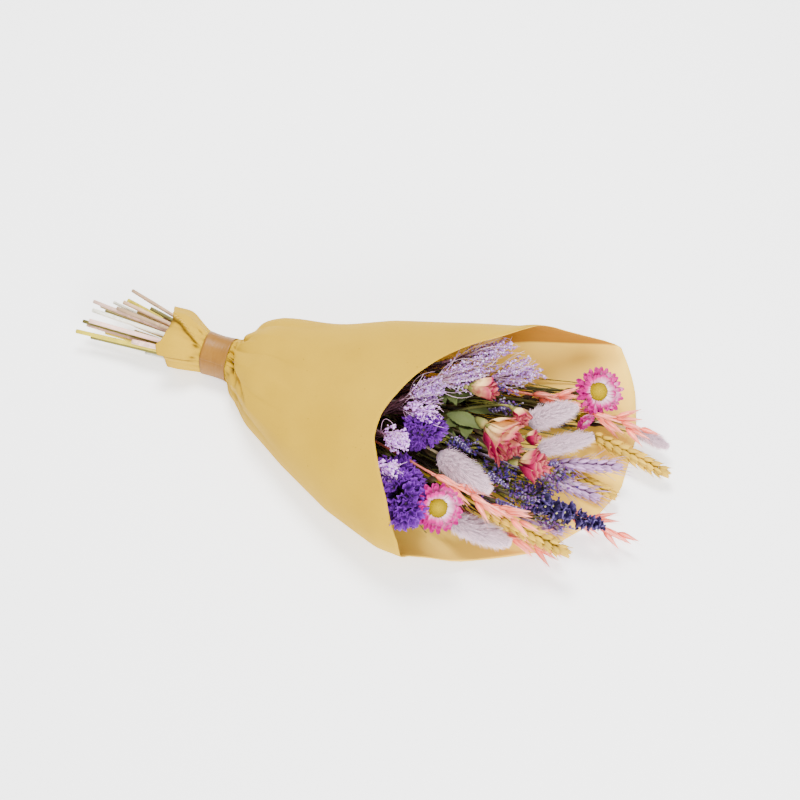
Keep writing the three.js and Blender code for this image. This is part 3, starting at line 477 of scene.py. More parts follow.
def between(a, b, share):
    """A colour that is a share of the way from a to b."""
    return tuple(np.array(a[:]) * (1 - share) + np.array(b[:]) * share)


def shades(colour, *steps):
    """Ramp stops of one colour: at each place it is times its own number."""
    return [(place, darker(colour, by)) for place, by in steps]


def tissue(name, stops, rough=0.65, shift=0.15, mottle=0.2, light=0.5, grain=0.35, fine=700,
           stretch=(1, 1, 1), bump=0.35, gloss=0.2):
    """Dry plant matter: a colour ramp along each body, moved by the body's tone and by soft blots,
    then made lighter or darker by tone and by a fine grain."""
    paint = Paint(name, Specular_IOR_Level=gloss)
    along, tone = paint.mark("along"), paint.mark("tone")
    blots = paint.noise(fine / 5, 2.0)
    fibre = paint.noise(fine, 3.0, stretch)
    colour = paint.ramp(along + (tone - 0.5) * shift + blots * mottle, stops)
    shade = (tone - 0.5) * light + fibre * grain + 1.0
    colour = paint.mix(1.0, colour, shade, "MULTIPLY")
    return paint.finish(colour, fibre * 0.25 + rough, fibre, bump)


def kraft_paper(settings):
    """Kraft paper: fine fibres, soft clouds and rare dark flecks.

    The sheet's along is 0 to 1 in the hollows of its outer face, -1 on its inner face, and -2 where
    that face is turned over under the far rim. The hollows are mixed towards the fleck colour as
    painted shade in creases and slits. The inner face has a lighter colour than the outer face as
    painted light, and its turned-over band has a darker one as painted shade.
    """
    paint = Paint("kraft_paper", Specular_IOR_Level=0.15)
    fibre = paint.noise(1500, 4.0, (0.35, 1, 1))
    cloud = paint.noise(18)
    colour = paint.ramp(cloud * 0.9 + fibre * 0.5 + 0.5, [(0.2, settings.shade), (0.8, settings.colour)])
    colour = paint.mix(paint.rise(paint.noise(420, 1.0), 0.26, 0.29, 0.35), colour, settings.fleck_and_crease_shade)
    face = paint.mark("along")
    # Inner face: a lighter colour than the outer face as painted light, and a darker one in the turned-over
    # band as painted shade.
    lining = paint.mix(paint.rise(face, -1.25, -1.65, 0.85), settings.inside, settings.turned)
    # Hollows of the outer face are mixed towards the fleck colour as painted shade.
    colour = paint.mix(face < -0.5, paint.mix(face * 0.9, colour, settings.fleck_and_crease_shade), lining)
    return paint.finish(colour, fibre * 0.2 + 0.72, fibre + paint.noise(60) * 2.0, 0.12)


def tape_paper(settings):
    """Paper tape: a smooth coated face with fine cross wrinkles."""
    paint = Paint("paper_tape", Specular_IOR_Level=0.2)
    wrinkle = paint.noise(240, 4.0, (2.5, 0.5, 0.5))
    stops = [(0.25, settings.tape_shade), (0.75, settings.tape)]
    colour = paint.ramp(paint.noise(45, 2.0) + wrinkle * 0.5 + 0.5, stops)
    return paint.finish(colour, wrinkle * 0.3 + 0.42, wrinkle, 0.6, 0.0006)


def twine(settings):
    """Twine: fibres that run along the strand."""
    paint = Paint("twine")
    strand = paint.noise(900, 3.0, (0.3, 1, 1))
    colour = paint.ramp(strand + 0.5, shades(settings.twine, (0.2, 0.6), (0.8, 1)))
    return paint.finish(colour, strand * 0.2 + 0.85, strand, 0.6)


def rose_petal(name, pinkness, settings):
    """Rose petals: inner ones are pink with a dark foot and rim, and outer ones go from cream to pink.
    The body's tone says which it is, and a pinker bloom has more inner ones. Fine veins run through."""
    rim, pink, cream = settings.rim, settings.pink, settings.cream
    paint = Paint(name + "_petal", Specular_IOR_Level=0.2)
    vein, cloud = paint.noise(900), paint.noise(120, 2.0)
    place = paint.mark("along") + cloud * 0.35
    # Inner petals: the dark foot is painted shade in the crevices between the petals, and the paler band
    # just inside the rim is a painted highlight.
    inner = paint.ramp(place, [
        *shades(rim, (0.15, 0.6), (0.5, 1)), (0.78, pink), (0.95, between(pink, cream, 0.2)), (1.0, rim),
    ])
    outer = paint.ramp(place + (pinkness - 0.55) * 0.4, [
        *shades(cream, (0.2, 0.8), (0.5, 1)), (0.74, between(cream, pink, 0.55)), (0.92, pink), (1.0, rim),
    ])
    low = 0.25 + 0.75 * pinkness
    share = paint.rise(paint.mark("tone") + cloud * 0.4, low - 0.12, low + 0.16)
    colour = paint.mix(1.0, paint.mix(share, inner, outer), vein * 0.25 + 1.0, "MULTIPLY")
    return paint.finish(colour, vein * 0.2 + 0.55, vein)


def broom_bead(kind, colour):
    """Broom bloom: brown twigs at low tones, dyed twigs next, and seed beads from dark to pale."""
    paint = Paint(kind + "_bead", Specular_IOR_Level=0.2)
    grain = paint.noise(1400, 2.0)
    shade = paint.ramp(paint.mark("tone") + grain * 0.2, [
        (0.0, seen(66, 44, 50)), (0.1, seen(96, 70, 74)), (0.25, between(colour, seen(150, 126, 110), 0.6)),
        (0.46, between(colour, seen(222, 206, 196), 0.6)), *shades(colour, (0.54, 0.62), (0.8, 1)),
        (1.0, between(colour, (1, 1, 1), 0.45)),
    ])
    return paint.finish(shade, grain * 0.2 + 0.7, grain, 0.5)


def sea_floret():
    """Sea lavender: violets that the body's tone picks, darker towards the foot of each floret."""
    paint = Paint("sea_lavender_floret", Specular_IOR_Level=0.2)
    grain = paint.noise(900, 2.0)
    hue = paint.ramp(paint.mark("tone") + grain * 0.3, [
        (0.0, seen(50, 40, 86)), (0.35, seen(78, 64, 116)), (0.6, seen(104, 66, 112)),
        (0.8, seen(122, 106, 142)), (1.0, seen(164, 158, 164)),
    ])
    hue = paint.mix(1.0, hue, paint.mark("along") * 0.5 + 0.55, "MULTIPLY")
    return paint.finish(hue, grain * 0.2 + 0.7, grain)


# Paper wrap, tape and tie


def section(x):
    """The wrap's half width, its top, its bottom, its middle across, and its widest line's height."""
    half, top, bottom, middle = (eased(SECTIONS, x, SECTION_SOFT, column) for column in (1, 2, 3, 4))
    return half, top, bottom, middle, bottom + (top - bottom) * WIDEST


def wrap_points(x, degrees, proud=0.0):
    """The wrap's outer face: half an ellipse over its widest line and a flattened one under it."""
    half, top, bottom, middle, centre = section(x)
    angle = np.radians(degrees)
    c, s = np.cos(angle), np.sin(angle)
    y = middle + (half + proud) * np.sign(s) * np.abs(s) ** 0.95
    below = (centre - bottom + proud) * np.minimum(1, 1.12 * np.abs(c) ** 0.77)
    z = np.where(c < 0, centre + (top - centre + proud) * -c, centre - below)
    return np.stack([x + 0 * y, y, z], -1)


def inside_wrap(points, margin=3.0):
    """True for points in an ellipse that has the section's half width and half height, each less the
    margin."""
    half, top, bottom, middle, centre = section(points[..., 0])
    up = points[..., 2] - centre
    tall = np.where(up > 0, top - centre, centre - bottom) - margin
    return ((points[..., 1] - middle) / (half - margin)) ** 2 + (up / tall) ** 2 < 1


def outward(x, degrees):
    """The unit vector square to the wrap: along x round, turned away from the bundle."""
    along = wrap_points(x + 1, degrees) - wrap_points(x - 1, degrees)
    round_it = wrap_points(x, degrees + 2) - wrap_points(x, degrees - 2)
    normal = unit(np.cross(along, round_it))
    point = wrap_points(x, degrees)
    inside = normal[..., 1] * point[..., 1] + normal[..., 2] * (point[..., 2] - BUNDLE_Z) < 0
    return np.where(inside[..., None], -normal, normal)


def wrap_relief(x, degrees):
    """Pleats, creases and the raised front panel, square to the paper.

    Pleats are a triangle wave round the neck, tallest just past the tape and at the collar. The
    collar has a sharp crease that runs slantwise, and a folded layer that ends in a step. The panel
    is a step along its folded edge that fades by 120 mm, and pinches are rounded pits in it.
    """
    angle = np.radians(degrees)
    upper = smooth(-np.cos(angle), -0.75, -0.2)
    past = 1.5 * upper * span(x, 27, 36, 45, 110)
    collar = smooth(-x, 0, 30) * (0.4 + 0.6 * upper)
    wander = 0.05 * ripple(angle * 2, x / 18, 3, 5)
    relief = (0.3 + past + 0.45 * collar) * zigzag(PLEATS * degrees / 360 + wander)
    relief = relief + 1.6 * collar * np.cos(3 * angle + 0.9)

    crease = CREASE[0] + CREASE[1] * x
    behind = smooth(-x, -4, 6)
    beyond = smooth(degrees, crease - 1.5, crease + 1.5)
    fold = 4.0 * (1 - beyond) * hump(degrees, crease, 48) - 2.6 * beyond * hump(degrees, crease, 22)
    layer = (1 - smooth(degrees, LAYER_EDGE - 1, LAYER_EDGE + 2)) * hump(degrees, LAYER_EDGE, 26)
    relief = relief + behind * (fold + 3.6 * smooth(-x, -2, 12) * layer)

    fine = zigzag(FINE_PLEATS * degrees / 360 + 3 * wander)
    relief = relief + 0.5 * fine * hump(x, 13, 26) * (1 - 0.7 * span(x, 0, 6, 22, 27))
    relief = relief + 0.45 * ripple(angle * 3, x / 30, 8, 7) * smooth(x, 30, 90)
    crumple = np.abs(ripple(angle * 6, x / 5, 11, 6)) - 0.6
    relief = relief + 2.4 * crumple * upper * span(x, 25.5, 30, 40, 62)

    edge = eased(PANEL_EDGE, degrees, 5)
    far_side = 1 + 0.8 * smooth(-np.abs(degrees - 115), -60, -10)
    window = span(degrees, 62, 110, 215, 262)
    relief = relief + 4.5 * far_side * window * smooth(x, edge, edge + 3) * (1 - smooth(x, 50, 120))
    for place, turn, along, across, depth in PINCHES:
        skew = x - place - 0.12 * (degrees - turn)
        relief = relief - depth * hump(degrees, turn, across) * hump(skew, 0, along)
    return relief


def wrap_grid(settings):
    """The sheet goes once round and laps under itself. Its rows run from the collar to the rim, and
    its columns are closer on the side with the folds.

    Hollows are where it lies below the average of the grid round it. There, and in a thin line just
    under the collar's folded layer, the outer face is darkened as painted shade. The inner face is
    turned over where the far wall curves over the flowers, and that band gets a darker colour as
    painted shade.
    """
    turn = np.interp(np.linspace(0, 1, settings.columns), [0, 0.18, 0.76, 1], [0, 112, 262, 400])
    degrees = ((SHEET_START + turn) % 360)[:, None]
    edge, rim = eased(PANEL_EDGE, degrees, 5), eased(RIM, degrees, 2.5)
    collar = -eased(COLLAR_EDGE, degrees, 1.5)
    neck = np.linspace(0, 1, settings.neck_rows)
    flare = np.linspace(0, 1, settings.flare_rows)[1:]
    neck_end = edge + 6
    x = np.concatenate([collar + (neck_end - collar) * neck, neck_end + (rim - neck_end) * flare], axis=1)
    degrees = degrees + 0 * x

    under = 1.3 * (1 - smooth(turn, 40, 60))[:, None]
    curl = 3.0 * hump(degrees, FAR_RIM, 16) * smooth(x, rim - 26, rim)
    relief = wrap_relief(x, degrees) - under + curl
    folded = span(degrees, 100, 135, 225, 262)
    overhang = 6.5 * folded * span(x, edge + 0.5, edge + 3, edge + 3, edge + 22)
    normal = outward(x, degrees)
    outer = wrap_points(x - overhang, degrees) + normal * relief[..., None]
    outer[..., 2] = np.maximum(outer[..., 2], np.where(under > 0.05, -9, 0.0))
    inner = outer - normal * settings.thickness / MM

    average = relief
    for axis in (0, 1):
        average = sum(np.roll(average, step, axis) for step in range(-4, 5)) / 9
    # Where the sheet lies below its neighbours it is darkened: painted shade in creases and slits.
    painted_crease_shade = np.clip((average - relief) / 1.8, 0, 1) * (1 - smooth(x, 70, 110))
    # A thin line just under the collar's folded layer is darkened as painted shadow.
    painted_crease_shade = np.maximum(painted_crease_shade, 0.75 * smooth(-x, 0, 8) * hump(degrees, LAYER_EDGE + 6, 2.4))
    # The band under the far rim, where the inner face is turned over, gets painted shade.
    turned = np.clip((degrees - 78 - 0.15 * (x - 265)) / 6, 0, 1) * smooth(x, 225, 245)
    return outer, inner, painted_crease_shade, turned * (degrees < 140)


def closed_strip(outer, inner, along=None):
    """A bunch of one body: each ring runs out along the outer face and back along the inner one."""
    bunch = Bunch()
    bunch.add(np.concatenate([outer, inner[:, ::-1]], axis=1), along)
    return bunch


def paper_sheet(settings):
    """The wrap's two faces, with hollows and the turned-over band as their along."""
    # Their along carries the painted shade of the hollows and of the turned-over band.
    outer, inner, painted_crease_shade, turned = wrap_grid(settings)
    return closed_strip(outer, inner, np.concatenate([painted_crease_shade, -1 - turned[:, ::-1]], axis=1)[None])


def tape_strip(settings):
    """The tape goes round the neck and a little over its own start, with wavy edges and wrinkles."""
    turn = np.linspace(0, 360 + TAPE_LAP, 180)[:, None]
    degrees = (turn + TAPE_START) % 360
    across = np.linspace(0, 1, 14)
    edges = 0.35 * ripple(np.radians(turn) * 4, 0, 31)
    x = TAPE[0] + edges + (TAPE[1] - TAPE[0]) * across
    lap = 0.3 * smooth(turn, 340, 362)
    wrinkle = 0.14 * np.abs(ripple(np.radians(turn) * 7, x / 9, 32, 7))
    under = 0.62 + lap + wrinkle
    outer, inner = (
        wrap_points(x, degrees + 0 * x, under + thick) for thick in (settings.tape_thickness / MM, 0.0)
    )
    return closed_strip(outer, inner)


# Plants


def plants():
    """Every plant of the bouquet, each with its place in the stem bundle.

    A row gives its name, its head's base and tip, how far behind X = 0 its stem is cut, and then
    its head's radius, its seed and its pairs of husks where it has them. Plants are dealt to the
    bundle's columns by their direction from the neck, and to the places of a column by their height.
    """
    table = [
        ("rose_stem_1", (226, 8, 64), (255, 13, 70), 58),
        ("rose_stem_2", (214, -10, 47), (262, -18, 62), 98),
        ("daisy_1", (326, 62.5, 30), (329, 57.5, 42), 24, 21.4),
        ("daisy_2", (237.5, -95, 60), (241, -99.5, 70.4), 112, 20.4),
        ("daisy_3", (318.5, 34.5, 31), (326, 29, 32), 84, 12),
        ("bunny_tail_1", (282, 9, 44), (315, 33, 48), 94, 9.5, 1),
        ("bunny_tail_2", (296, -7, 34), (334, 16, 38), 80, 7.5, 2),
        ("bunny_tail_3", (226, -50, 58), (272, -69, 62), 104, 10.5, 3),
        ("bunny_tail_4", (248, -86, 26), (297, -91, 28), 50, 10, 4),
        ("bunny_tail_5", (366, 45, 16), (394, 39, 16), 36, 5, 5),
        ("wheat_1", (331, 31, 14), (402, 15, 14), 40, 7, 1),
        ("wheat_2", (264, -72, 38), (345, -88, 34), 90, 7, 2),
        ("wheat_3", (312, -6, 12), (366, -18, 12), 30, 6, 3),
        ("lilac_wheat_1", (304, -12, 23), (364, 6, 23), 32, 6, 4),
        ("lilac_wheat_2", (294, -25, 26), (354, -28.5, 25), 26, 6, 5),
        ("lilac_wheat_3", (284, -60, 20), (334, -65, 20), 24, 5.5, 6),
        ("oat_1", (224, -70, 64), (312, -84, 52), 107, 8, 11, 6),
        ("oat_2", (272, 42, 30), (309, 45, 30), 38, 8, 12, 3),
        ("oat_3", (322, 46, 22), (372, 45, 22), 28, 8, 13, 4),
        ("oat_4", (286, -78, 17), (328, -80, 17), 22, 8, 14, 4),
        ("oat_5", (325, -44, 17.6), (380, -50, 17.6), 30, 8, 15, 4),
        ("broom_lilac_1", (205, 26, 70), (250, 58, 72), 82, 8, 21),
        ("broom_lilac_2", (196, -2, 74), (240, 28, 76), 82, 8, 22),
        ("broom_lilac_3", (234, 26, 56), (281, 50, 60), 45, 8, 23),
        ("broom_lilac_4", (184, -22, 76), (214, 0, 82), 84, 8, 24),
        ("broom_pale_1", (182, -26, 68), (220, -32, 82), 108, 8, 25),
        ("broom_pale_2", (176, -52, 70), (202, -62, 83), 103, 8, 26),
        ("broom_pale_3", (180, -78, 62), (204, -86, 80), 60, 8, 27),
        ("statice_1", (197, -44, 64), (217, -36, 74), 110, 12.4, 1),
        ("statice_2", (195, -74, 50), (220, -109, 66), 99, 19.2, 2),
        ("delphinium", (293, -49.5, 30), (359, -54, 30), 28, 13),
        ("lavender_1", (231, -31, 58), (248, -42, 62), 102, 3.4, 1),
        ("lavender_2", (264, -48, 50), (284, -58, 54), 24, 3.4, 2),
        ("lavender_3", (288, -56, 40), (310, -55, 42), 66, 3.4, 3),
        ("lavender_4", (276, -66, 42), (300, -68, 44), 26, 3.4, 4),
        ("lavender_5", (296, -18, 30), (314, -14, 34), 70, 3.4, 5),
        ("lavender_6", (248, 3, 52), (262, 6, 60), 68, 3.4, 6),
    ]
    made = [Plant(*row) for row in table]
    waiting = sorted(made, key=lambda p: np.arctan2(p.base[1], p.base[0] - NECK_END))
    for column, count in enumerate(BUNDLE_COLUMNS):
        group, waiting = waiting[:count], waiting[count:]
        group.sort(key=lambda p: (p.base[2] - BUNDLE_Z) / (p.base[0] - NECK_END))
        y = (column - 3) * STEM_PITCH * np.sin(np.pi / 3)
        for row, plant in enumerate(group):
            plant.slot = (y, BUNDLE_Z + (row - (count - 1) / 2) * STEM_PITCH)
    return {plant.name: plant for plant in made}


PLANTS = plants()

# Each rose with how far it is open and how pink it is
ROSES = {
    "rose_bloom_1": (Plant("rose_bloom_1", (228, 10, 69), (253, 13.5, 71), 0, 10.3, 41), 0.6, 0.5),
    "rose_bloom_2": (Plant("rose_bloom_2", (267, 7, 61), (283, -2, 64), 0, 8.2, 42), 0.6, 0.55),
    "rose_bloom_3": (Plant("rose_bloom_3", (251, -15, 62), (284, -32.5, 70.5), 0, 19.2, 43), 1.1, 0.28),
    "rose_bloom_4": (Plant("rose_bloom_4", (283, -13, 57), (296, -10, 58), 0, 8, 44), 0.9, 0.85),
    "rose_bloom_5": (Plant("rose_bloom_5", (284, -35, 55), (309, -33, 60), 0, 13.8, 45), 0.95, 0.92),
}


def of_kind(kind):
    """The plants whose names start with a kind."""
    return [plant for name, plant in PLANTS.items() if name.startswith(kind)]


def spline(a, b, c, d, t):
    """The cubic curve of four control points."""
    t = np.asarray(t, float)[:, None]
    return (1 - t) ** 3 * a + 3 * (1 - t) ** 2 * t * b + 3 * (1 - t) * t**2 * c + t**3 * d


def stalk_path(plant):
    """Cut end, straight through the neck, then a curve that comes into line with the flower. Behind
    the neck the stems spread apart, and where they are free they sway a little by sine waves."""
    y, z = plant.slot
    past = plant.cut + NECK_START
    cut_end = np.array([-plant.cut, y * (1 + 0.015 * past) + 0.117 * past, z * (1 - 0.001 * past)])
    start, leave = np.array([NECK_START, y, z]), np.array([NECK_END, y, z])
    reach = np.linalg.norm(plant.base - leave)
    bend = leave + [0.15 * reach, 0, 0]
    into = plant.base - plant.way * min(24, 0.18 * reach)
    back = start - (start - cut_end) * np.linspace(1, 0.1, 8)[:, None]
    neck = start + (leave - start) * np.linspace(0.1, 1, 6)[:, None]
    out = spline(leave, bend, into, plant.base, np.linspace(0, 1, 26)[1:])
    path = np.concatenate([back, neck, out])
    sway = np.linspace(0, 1, len(path))
    waves = [ripple(sway * 9, 0, plant.seed + step) for step in (50, 70)]
    wave = np.stack([0 * sway, *waves], -1)
    loose = smooth(-path[:, 0], 0, 60) + smooth(path[:, 0], 60, 120) * (1 - sway**8)
    return path + wave * 0.35 * loose[:, None]


def add_stalks(bunch, group, thick, knots=0.0):
    """One tube for each plant, thinner towards the flower, with joints where a grass has them. Its
    radius also goes up and down by sine waves."""
    for n, plant in enumerate(group):
        path = stalk_path(plant)
        share = np.linspace(0, 1, len(path))
        radius = thick * (0.9 + 0.28 * (n * 0.382 % 1)) * (1 - 0.42 * smooth(share, 0.3, 1))
        joints = np.abs(share * 5 % 1 - 0.5) < 0.03
        radius = radius * (1 + 0.08 * ripple(share * 26, n, 3) + knots * joints)
        bunch.add(tube(path, radius, 9)[None], tone=(n * 0.618 + 0.2) % 1)


def add_axis(bunch, plant, ends, radii, levels, tone, along=None):
    """The stalk inside a head: a tube from one share of the axis to another."""
    path = plant.at(np.linspace(*ends, levels))
    bunch.add(tube(path, np.linspace(*radii, levels))[None], along, tone)


def add_twigs(bunch, start, end, thick, bow=0.05, sides=4, levels=6, seed=0, tone=0.5):
    """Thin twigs from start points to end points, bowed by 4 t (1 - t), thinner towards the end."""
    t = np.linspace(0, 1, levels)
    reach = end - start
    length = np.linalg.norm(reach, axis=1, keepdims=True)
    side, top = square(reach)
    draw = np.random.default_rng(seed)
    away = side * draw.normal(0, bow, (len(start), 1)) + top * draw.normal(0, bow, (len(start), 1))
    bowed = (away * length)[:, None] * (4 * t * (1 - t))[:, None]
    path = start[:, None] + reach[:, None] * t[:, None] + bowed
    radius = np.broadcast_to(thick, len(start))[:, None] * (1 - 0.5 * t)
    bunch.add(tube(path, radius, sides), tone=tone)
    return path


# Flowers

# Shapes of small bodies: the share of their length, and of their radius or half width there
GRAIN = [(0, 0.35), (0.12, 0.8), (0.35, 1), (0.62, 0.82), (0.85, 0.38), (1, 0.05)]
BUD = [(0, 0.4), (0.3, 1), (0.7, 0.8), (1, 0.12)]
BEAD = [(0, 0.5), (0.5, 1), (1, 0.4)]
HAIR = [(0, 1), (0.6, 0.7), (1, 0.15)]
DOWN = [(0, 1), (1, 0.25)]
LENS = [(0, 0.3), (0.12, 0.55), (0.3, 0.8), (0.6, 1), (0.82, 0.95), (0.94, 0.66), (1, 0.2)]
HUSK = [(0, 0.12), (0.08, 0.5), (0.24, 1), (0.45, 0.92), (0.7, 0.52), (0.9, 0.18), (1, 0.03)]
LEAF = [(0, 0.08), (0.08, 0.35), (0.25, 0.82), (0.45, 1), (0.7, 0.72), (0.9, 0.3), (1, 0.04)]


def rose_bloom(flower, open_up, petals):
    """Petals are patches of a bulb, from the tight middle out.

    A petal spans its own angle round the axis. Along its height its distance from the axis swells,
    then spreads by how open it is. Its rim rolls out and waves, and the whole petal is crumpled.
    Petals on the upper side are paler.
    """
    count = petals if flower.radius > 11 else petals - 8
    draw = np.random.default_rng(flower.seed)
    order = ((np.arange(count) + 0.6) / count)[:, None, None]
    turn = (np.arange(count) * GOLDEN + draw.uniform(-0.7, 0.7, count))[:, None, None]
    v = np.linspace(0, 1, 12)[None, :, None]
    u = np.linspace(-1, 1, 17)[None, None, :]
    size, length = flower.radius, flower.length
    spread = (1.2 - 0.4 * order) * np.minimum(0.35 + 1.1 * np.sqrt(v), 1) * np.sqrt(1 - 0.35 * v**6)
    swell = (0.08 + 0.72 * order) * np.sin(np.pi / 2 * np.minimum(v / 0.6, 1)) ** 0.85
    flare = 0.24 * open_up * order**1.5 * smooth(v, 0.5, 1)
    tuck = -0.08 * (1 - order) * smooth(v, 0.5, 1)
    phase = draw.uniform(0, 6.28, (count, 1, 1))
    loose = min(open_up, 1.0) ** 1.5
    wave = loose * (np.sin(4.1 * u + phase) * 0.6 + np.sin(9.3 * u + 2 * phase) * 0.36)
    crumple = ripple(u * 3.4 + 5 * phase, v * 4 + order * 30, flower.seed, 6) * v * (1.2 - 0.5 * order)
    shift = draw.normal(0, 0.05, (count, 1, 1)) * v
    waved = (0.17 - 0.05 * order) * wave * v**2.5 + 0.1 * crumple
    reach = size * (swell + flare + tuck + shift + waved - 0.05 * u**2 * v)
    tall = length * (1.05 - 0.3 * order * min(open_up, 1.0)) * (1 - 0.12 * np.abs(u) ** 3)
    tall = tall * draw.uniform(1 - 0.16 * loose, 1.03, (count, 1, 1))
    roll = 0.14 * size * order * smooth(v, 0.82, 1)
    height = tall * v**0.9 + 0.1 * size * wave * v**4 + 0.04 * size * crumple - roll
    axis = unit(flower.way + draw.normal(0, 0.09, (count, 1, 1, 3)))
    radial = flower.out(turn + u * spread)
    outer = flower.base + axis * height[..., None] + radial * reach[..., None]
    inner = outer - radial * (0.4 - 0.2 * v)[..., None] + flower.way * (0.1 * v)[..., None]
    pale = order[:, 0, 0] * (0.7 + 0.5 * np.cos(turn[:, 0, 0] + 0.8))
    bunch = Bunch()
    bunch.add(np.concatenate([outer, inner[:, :, ::-1]], axis=2),
              tone=np.clip(pale + draw.normal(0, 0.07, count), 0, 1))
    return bunch


CUP = [(0, 0.5), (0.2, 0.75), (0.5, 1), (0.8, 1.05), (1, 0.8)]


def rose_green():
    """Branches along cubic curves, swelling cups and five sepals for each rose."""
    bunch = Bunch()
    branches = {"rose_stem_1": ("rose_bloom_1",), "rose_stem_2": tuple(ROSES)[1:]}
    for stem, blooms in branches.items():
        root = PLANTS[stem].base
        for bloom in blooms:
            flower = ROSES[bloom][0]
            end = flower.base - flower.way * 1.5
            bend = end - flower.way * 12
            bend = bend + (root - bend) * 0.25
            path = spline(root - [2, 0, 0], bend, end - flower.way * 5, end, np.linspace(0, 1, 16))
            bunch.add(tube(path, np.linspace(1.2, 1.0, 16), 8)[None], tone=0.4)
            swell = flower.radius * 0.2
            cup = flower.base - flower.way * 2.6 * swell
            bunch.add(spindles(cup, flower.way, 3 * swell, swell, CUP, 10), tone=0.5)
            way = flower.lean(circle(5) + flower.seed, 0.95)
            base = flower.base - flower.way * 0.6 + way * swell * 0.4
            long = flower.radius * np.array([1.3, 0.9, 1.2, 0.8, 1.1])
            sepals = blades(base, way, flower.way, long, 4.2, LEAF, bend=0.7, cup=0.4, thick=0.35, seed=9)
            bunch.add(sepals, tone=0.85)
    return bunch


# Leaves of the roses: foot, tip and width
ROSE_LEAVES = (
    ((206, 6, 58), (215, -6, 67), 10), ((214, 6, 60), (224, -6, 68), 9),
    ((228, -13, 52), (222, -26, 64), 10), ((236, -16, 54), (240, -30, 66), 12),
    ((220, -12, 56), (252, -17, 66), 13), ((218, 0, 56), (233, 8, 66), 9),
    ((216, -20, 50), (234, -34, 60), 9), ((232, 0, 52), (254, 2, 58), 8),
)


def rose_leaves():
    """Cupped blades whose outline has teeth, and whose tips turn down."""
    bunch = Bunch()
    shares = np.linspace(0, 1, 26)
    wide = np.interp(shares, *np.array(LEAF).T) * (1 + 0.07 * (2 * (shares * 11 % 1) - 1))
    outline = list(zip(shares, wide))
    for n, (start, end, width) in enumerate(ROSE_LEAVES):
        reach = np.subtract(end, start)
        way = unit(reach)
        leaf = blades(start - way * 2, way, square(way)[1], np.linalg.norm(reach) + 2, width, outline,
                      bend=-0.35, cup=0.25, thick=0.4, across=9, ruffle=1.1, waves=5, seed=n)
        bunch.add(leaf, tone=(0.3 + 0.37 * n) % 1)
    return bunch


def daisy_rays(plant, petals, rise, curl):
    """Three rows of narrow papery petals round the hub, each row shorter and steeper."""
    bunch = Bunch()
    draw = np.random.default_rng(int(plant.radius * 7))
    rows = ((1.0, 0.0, -0.5), (0.92, 0.12, 0.1), (0.78, 0.26, 0.6))
    for row, (reach, tilt, lift) in enumerate(rows):
        turn = (np.arange(petals) + 0.37 * row) * 2 * np.pi / petals + draw.uniform(-0.09, 0.09, petals)
        tilts = np.pi / 2 - np.arctan(rise) - tilt + draw.uniform(-0.06, 0.06, petals)
        way = plant.lean(turn, tilts)
        hub = plant.base + plant.way * lift + way * plant.radius * 0.3
        long = plant.radius * (reach - 0.28) * draw.uniform(0.94, 1.03, petals)
        wide = plant.radius * 0.2 * draw.uniform(0.85, 1.1, petals)
        bend = draw.uniform(-0.05, 0.35, petals) + curl
        tone = 0.5 + 0.3 * np.cos(turn - 1.4) + draw.uniform(-0.2, 0.2, petals)
        rays = blades(hub, way, plant.way, long, wide, LENS, bend, ruffle=0.35, waves=2, seed=row)
        bunch.add(rays, tone=np.clip(tone, 0, 1))
    return bunch


PAD = [(0, 0.9), (0.4, 0.98), (0.7, 0.8), (0.9, 0.45), (1, 0.1)]


def daisy_florets(plant, count):
    """The disc: florets in golden-angle order over a low dome, on a rounded pad."""
    bunch = Bunch()
    share = np.sqrt((np.arange(count) + 0.5) / count)
    radius = plant.radius * 0.41
    out = plant.out(np.arange(count) * GOLDEN)
    dome = plant.base + plant.way * 2.4 + out * (radius * share)[:, None]
    dome = dome + plant.way * (radius * 0.42 * (1 - share**2))[:, None]
    way = unit(plant.way + out * share[:, None] * 0.6)
    bunch.add(spindles(dome, way, 1.9, radius * 0.085, BUD, 5), tone=1 - share)
    foot = plant.base + plant.way * 0.6
    bunch.add(spindles(foot, plant.way, radius * 0.5 + 2.2, radius, PAD, 20), tone=0.3)
    return bunch


def egg(u):
    """Radius of an egg at shares of its length: the root of 1 - |2 u^0.8 - 1|^2.4."""
    return np.sqrt(1 - np.abs(2 * np.clip(u, 0.004, 0.996) ** 0.8 - 1) ** 2.4)


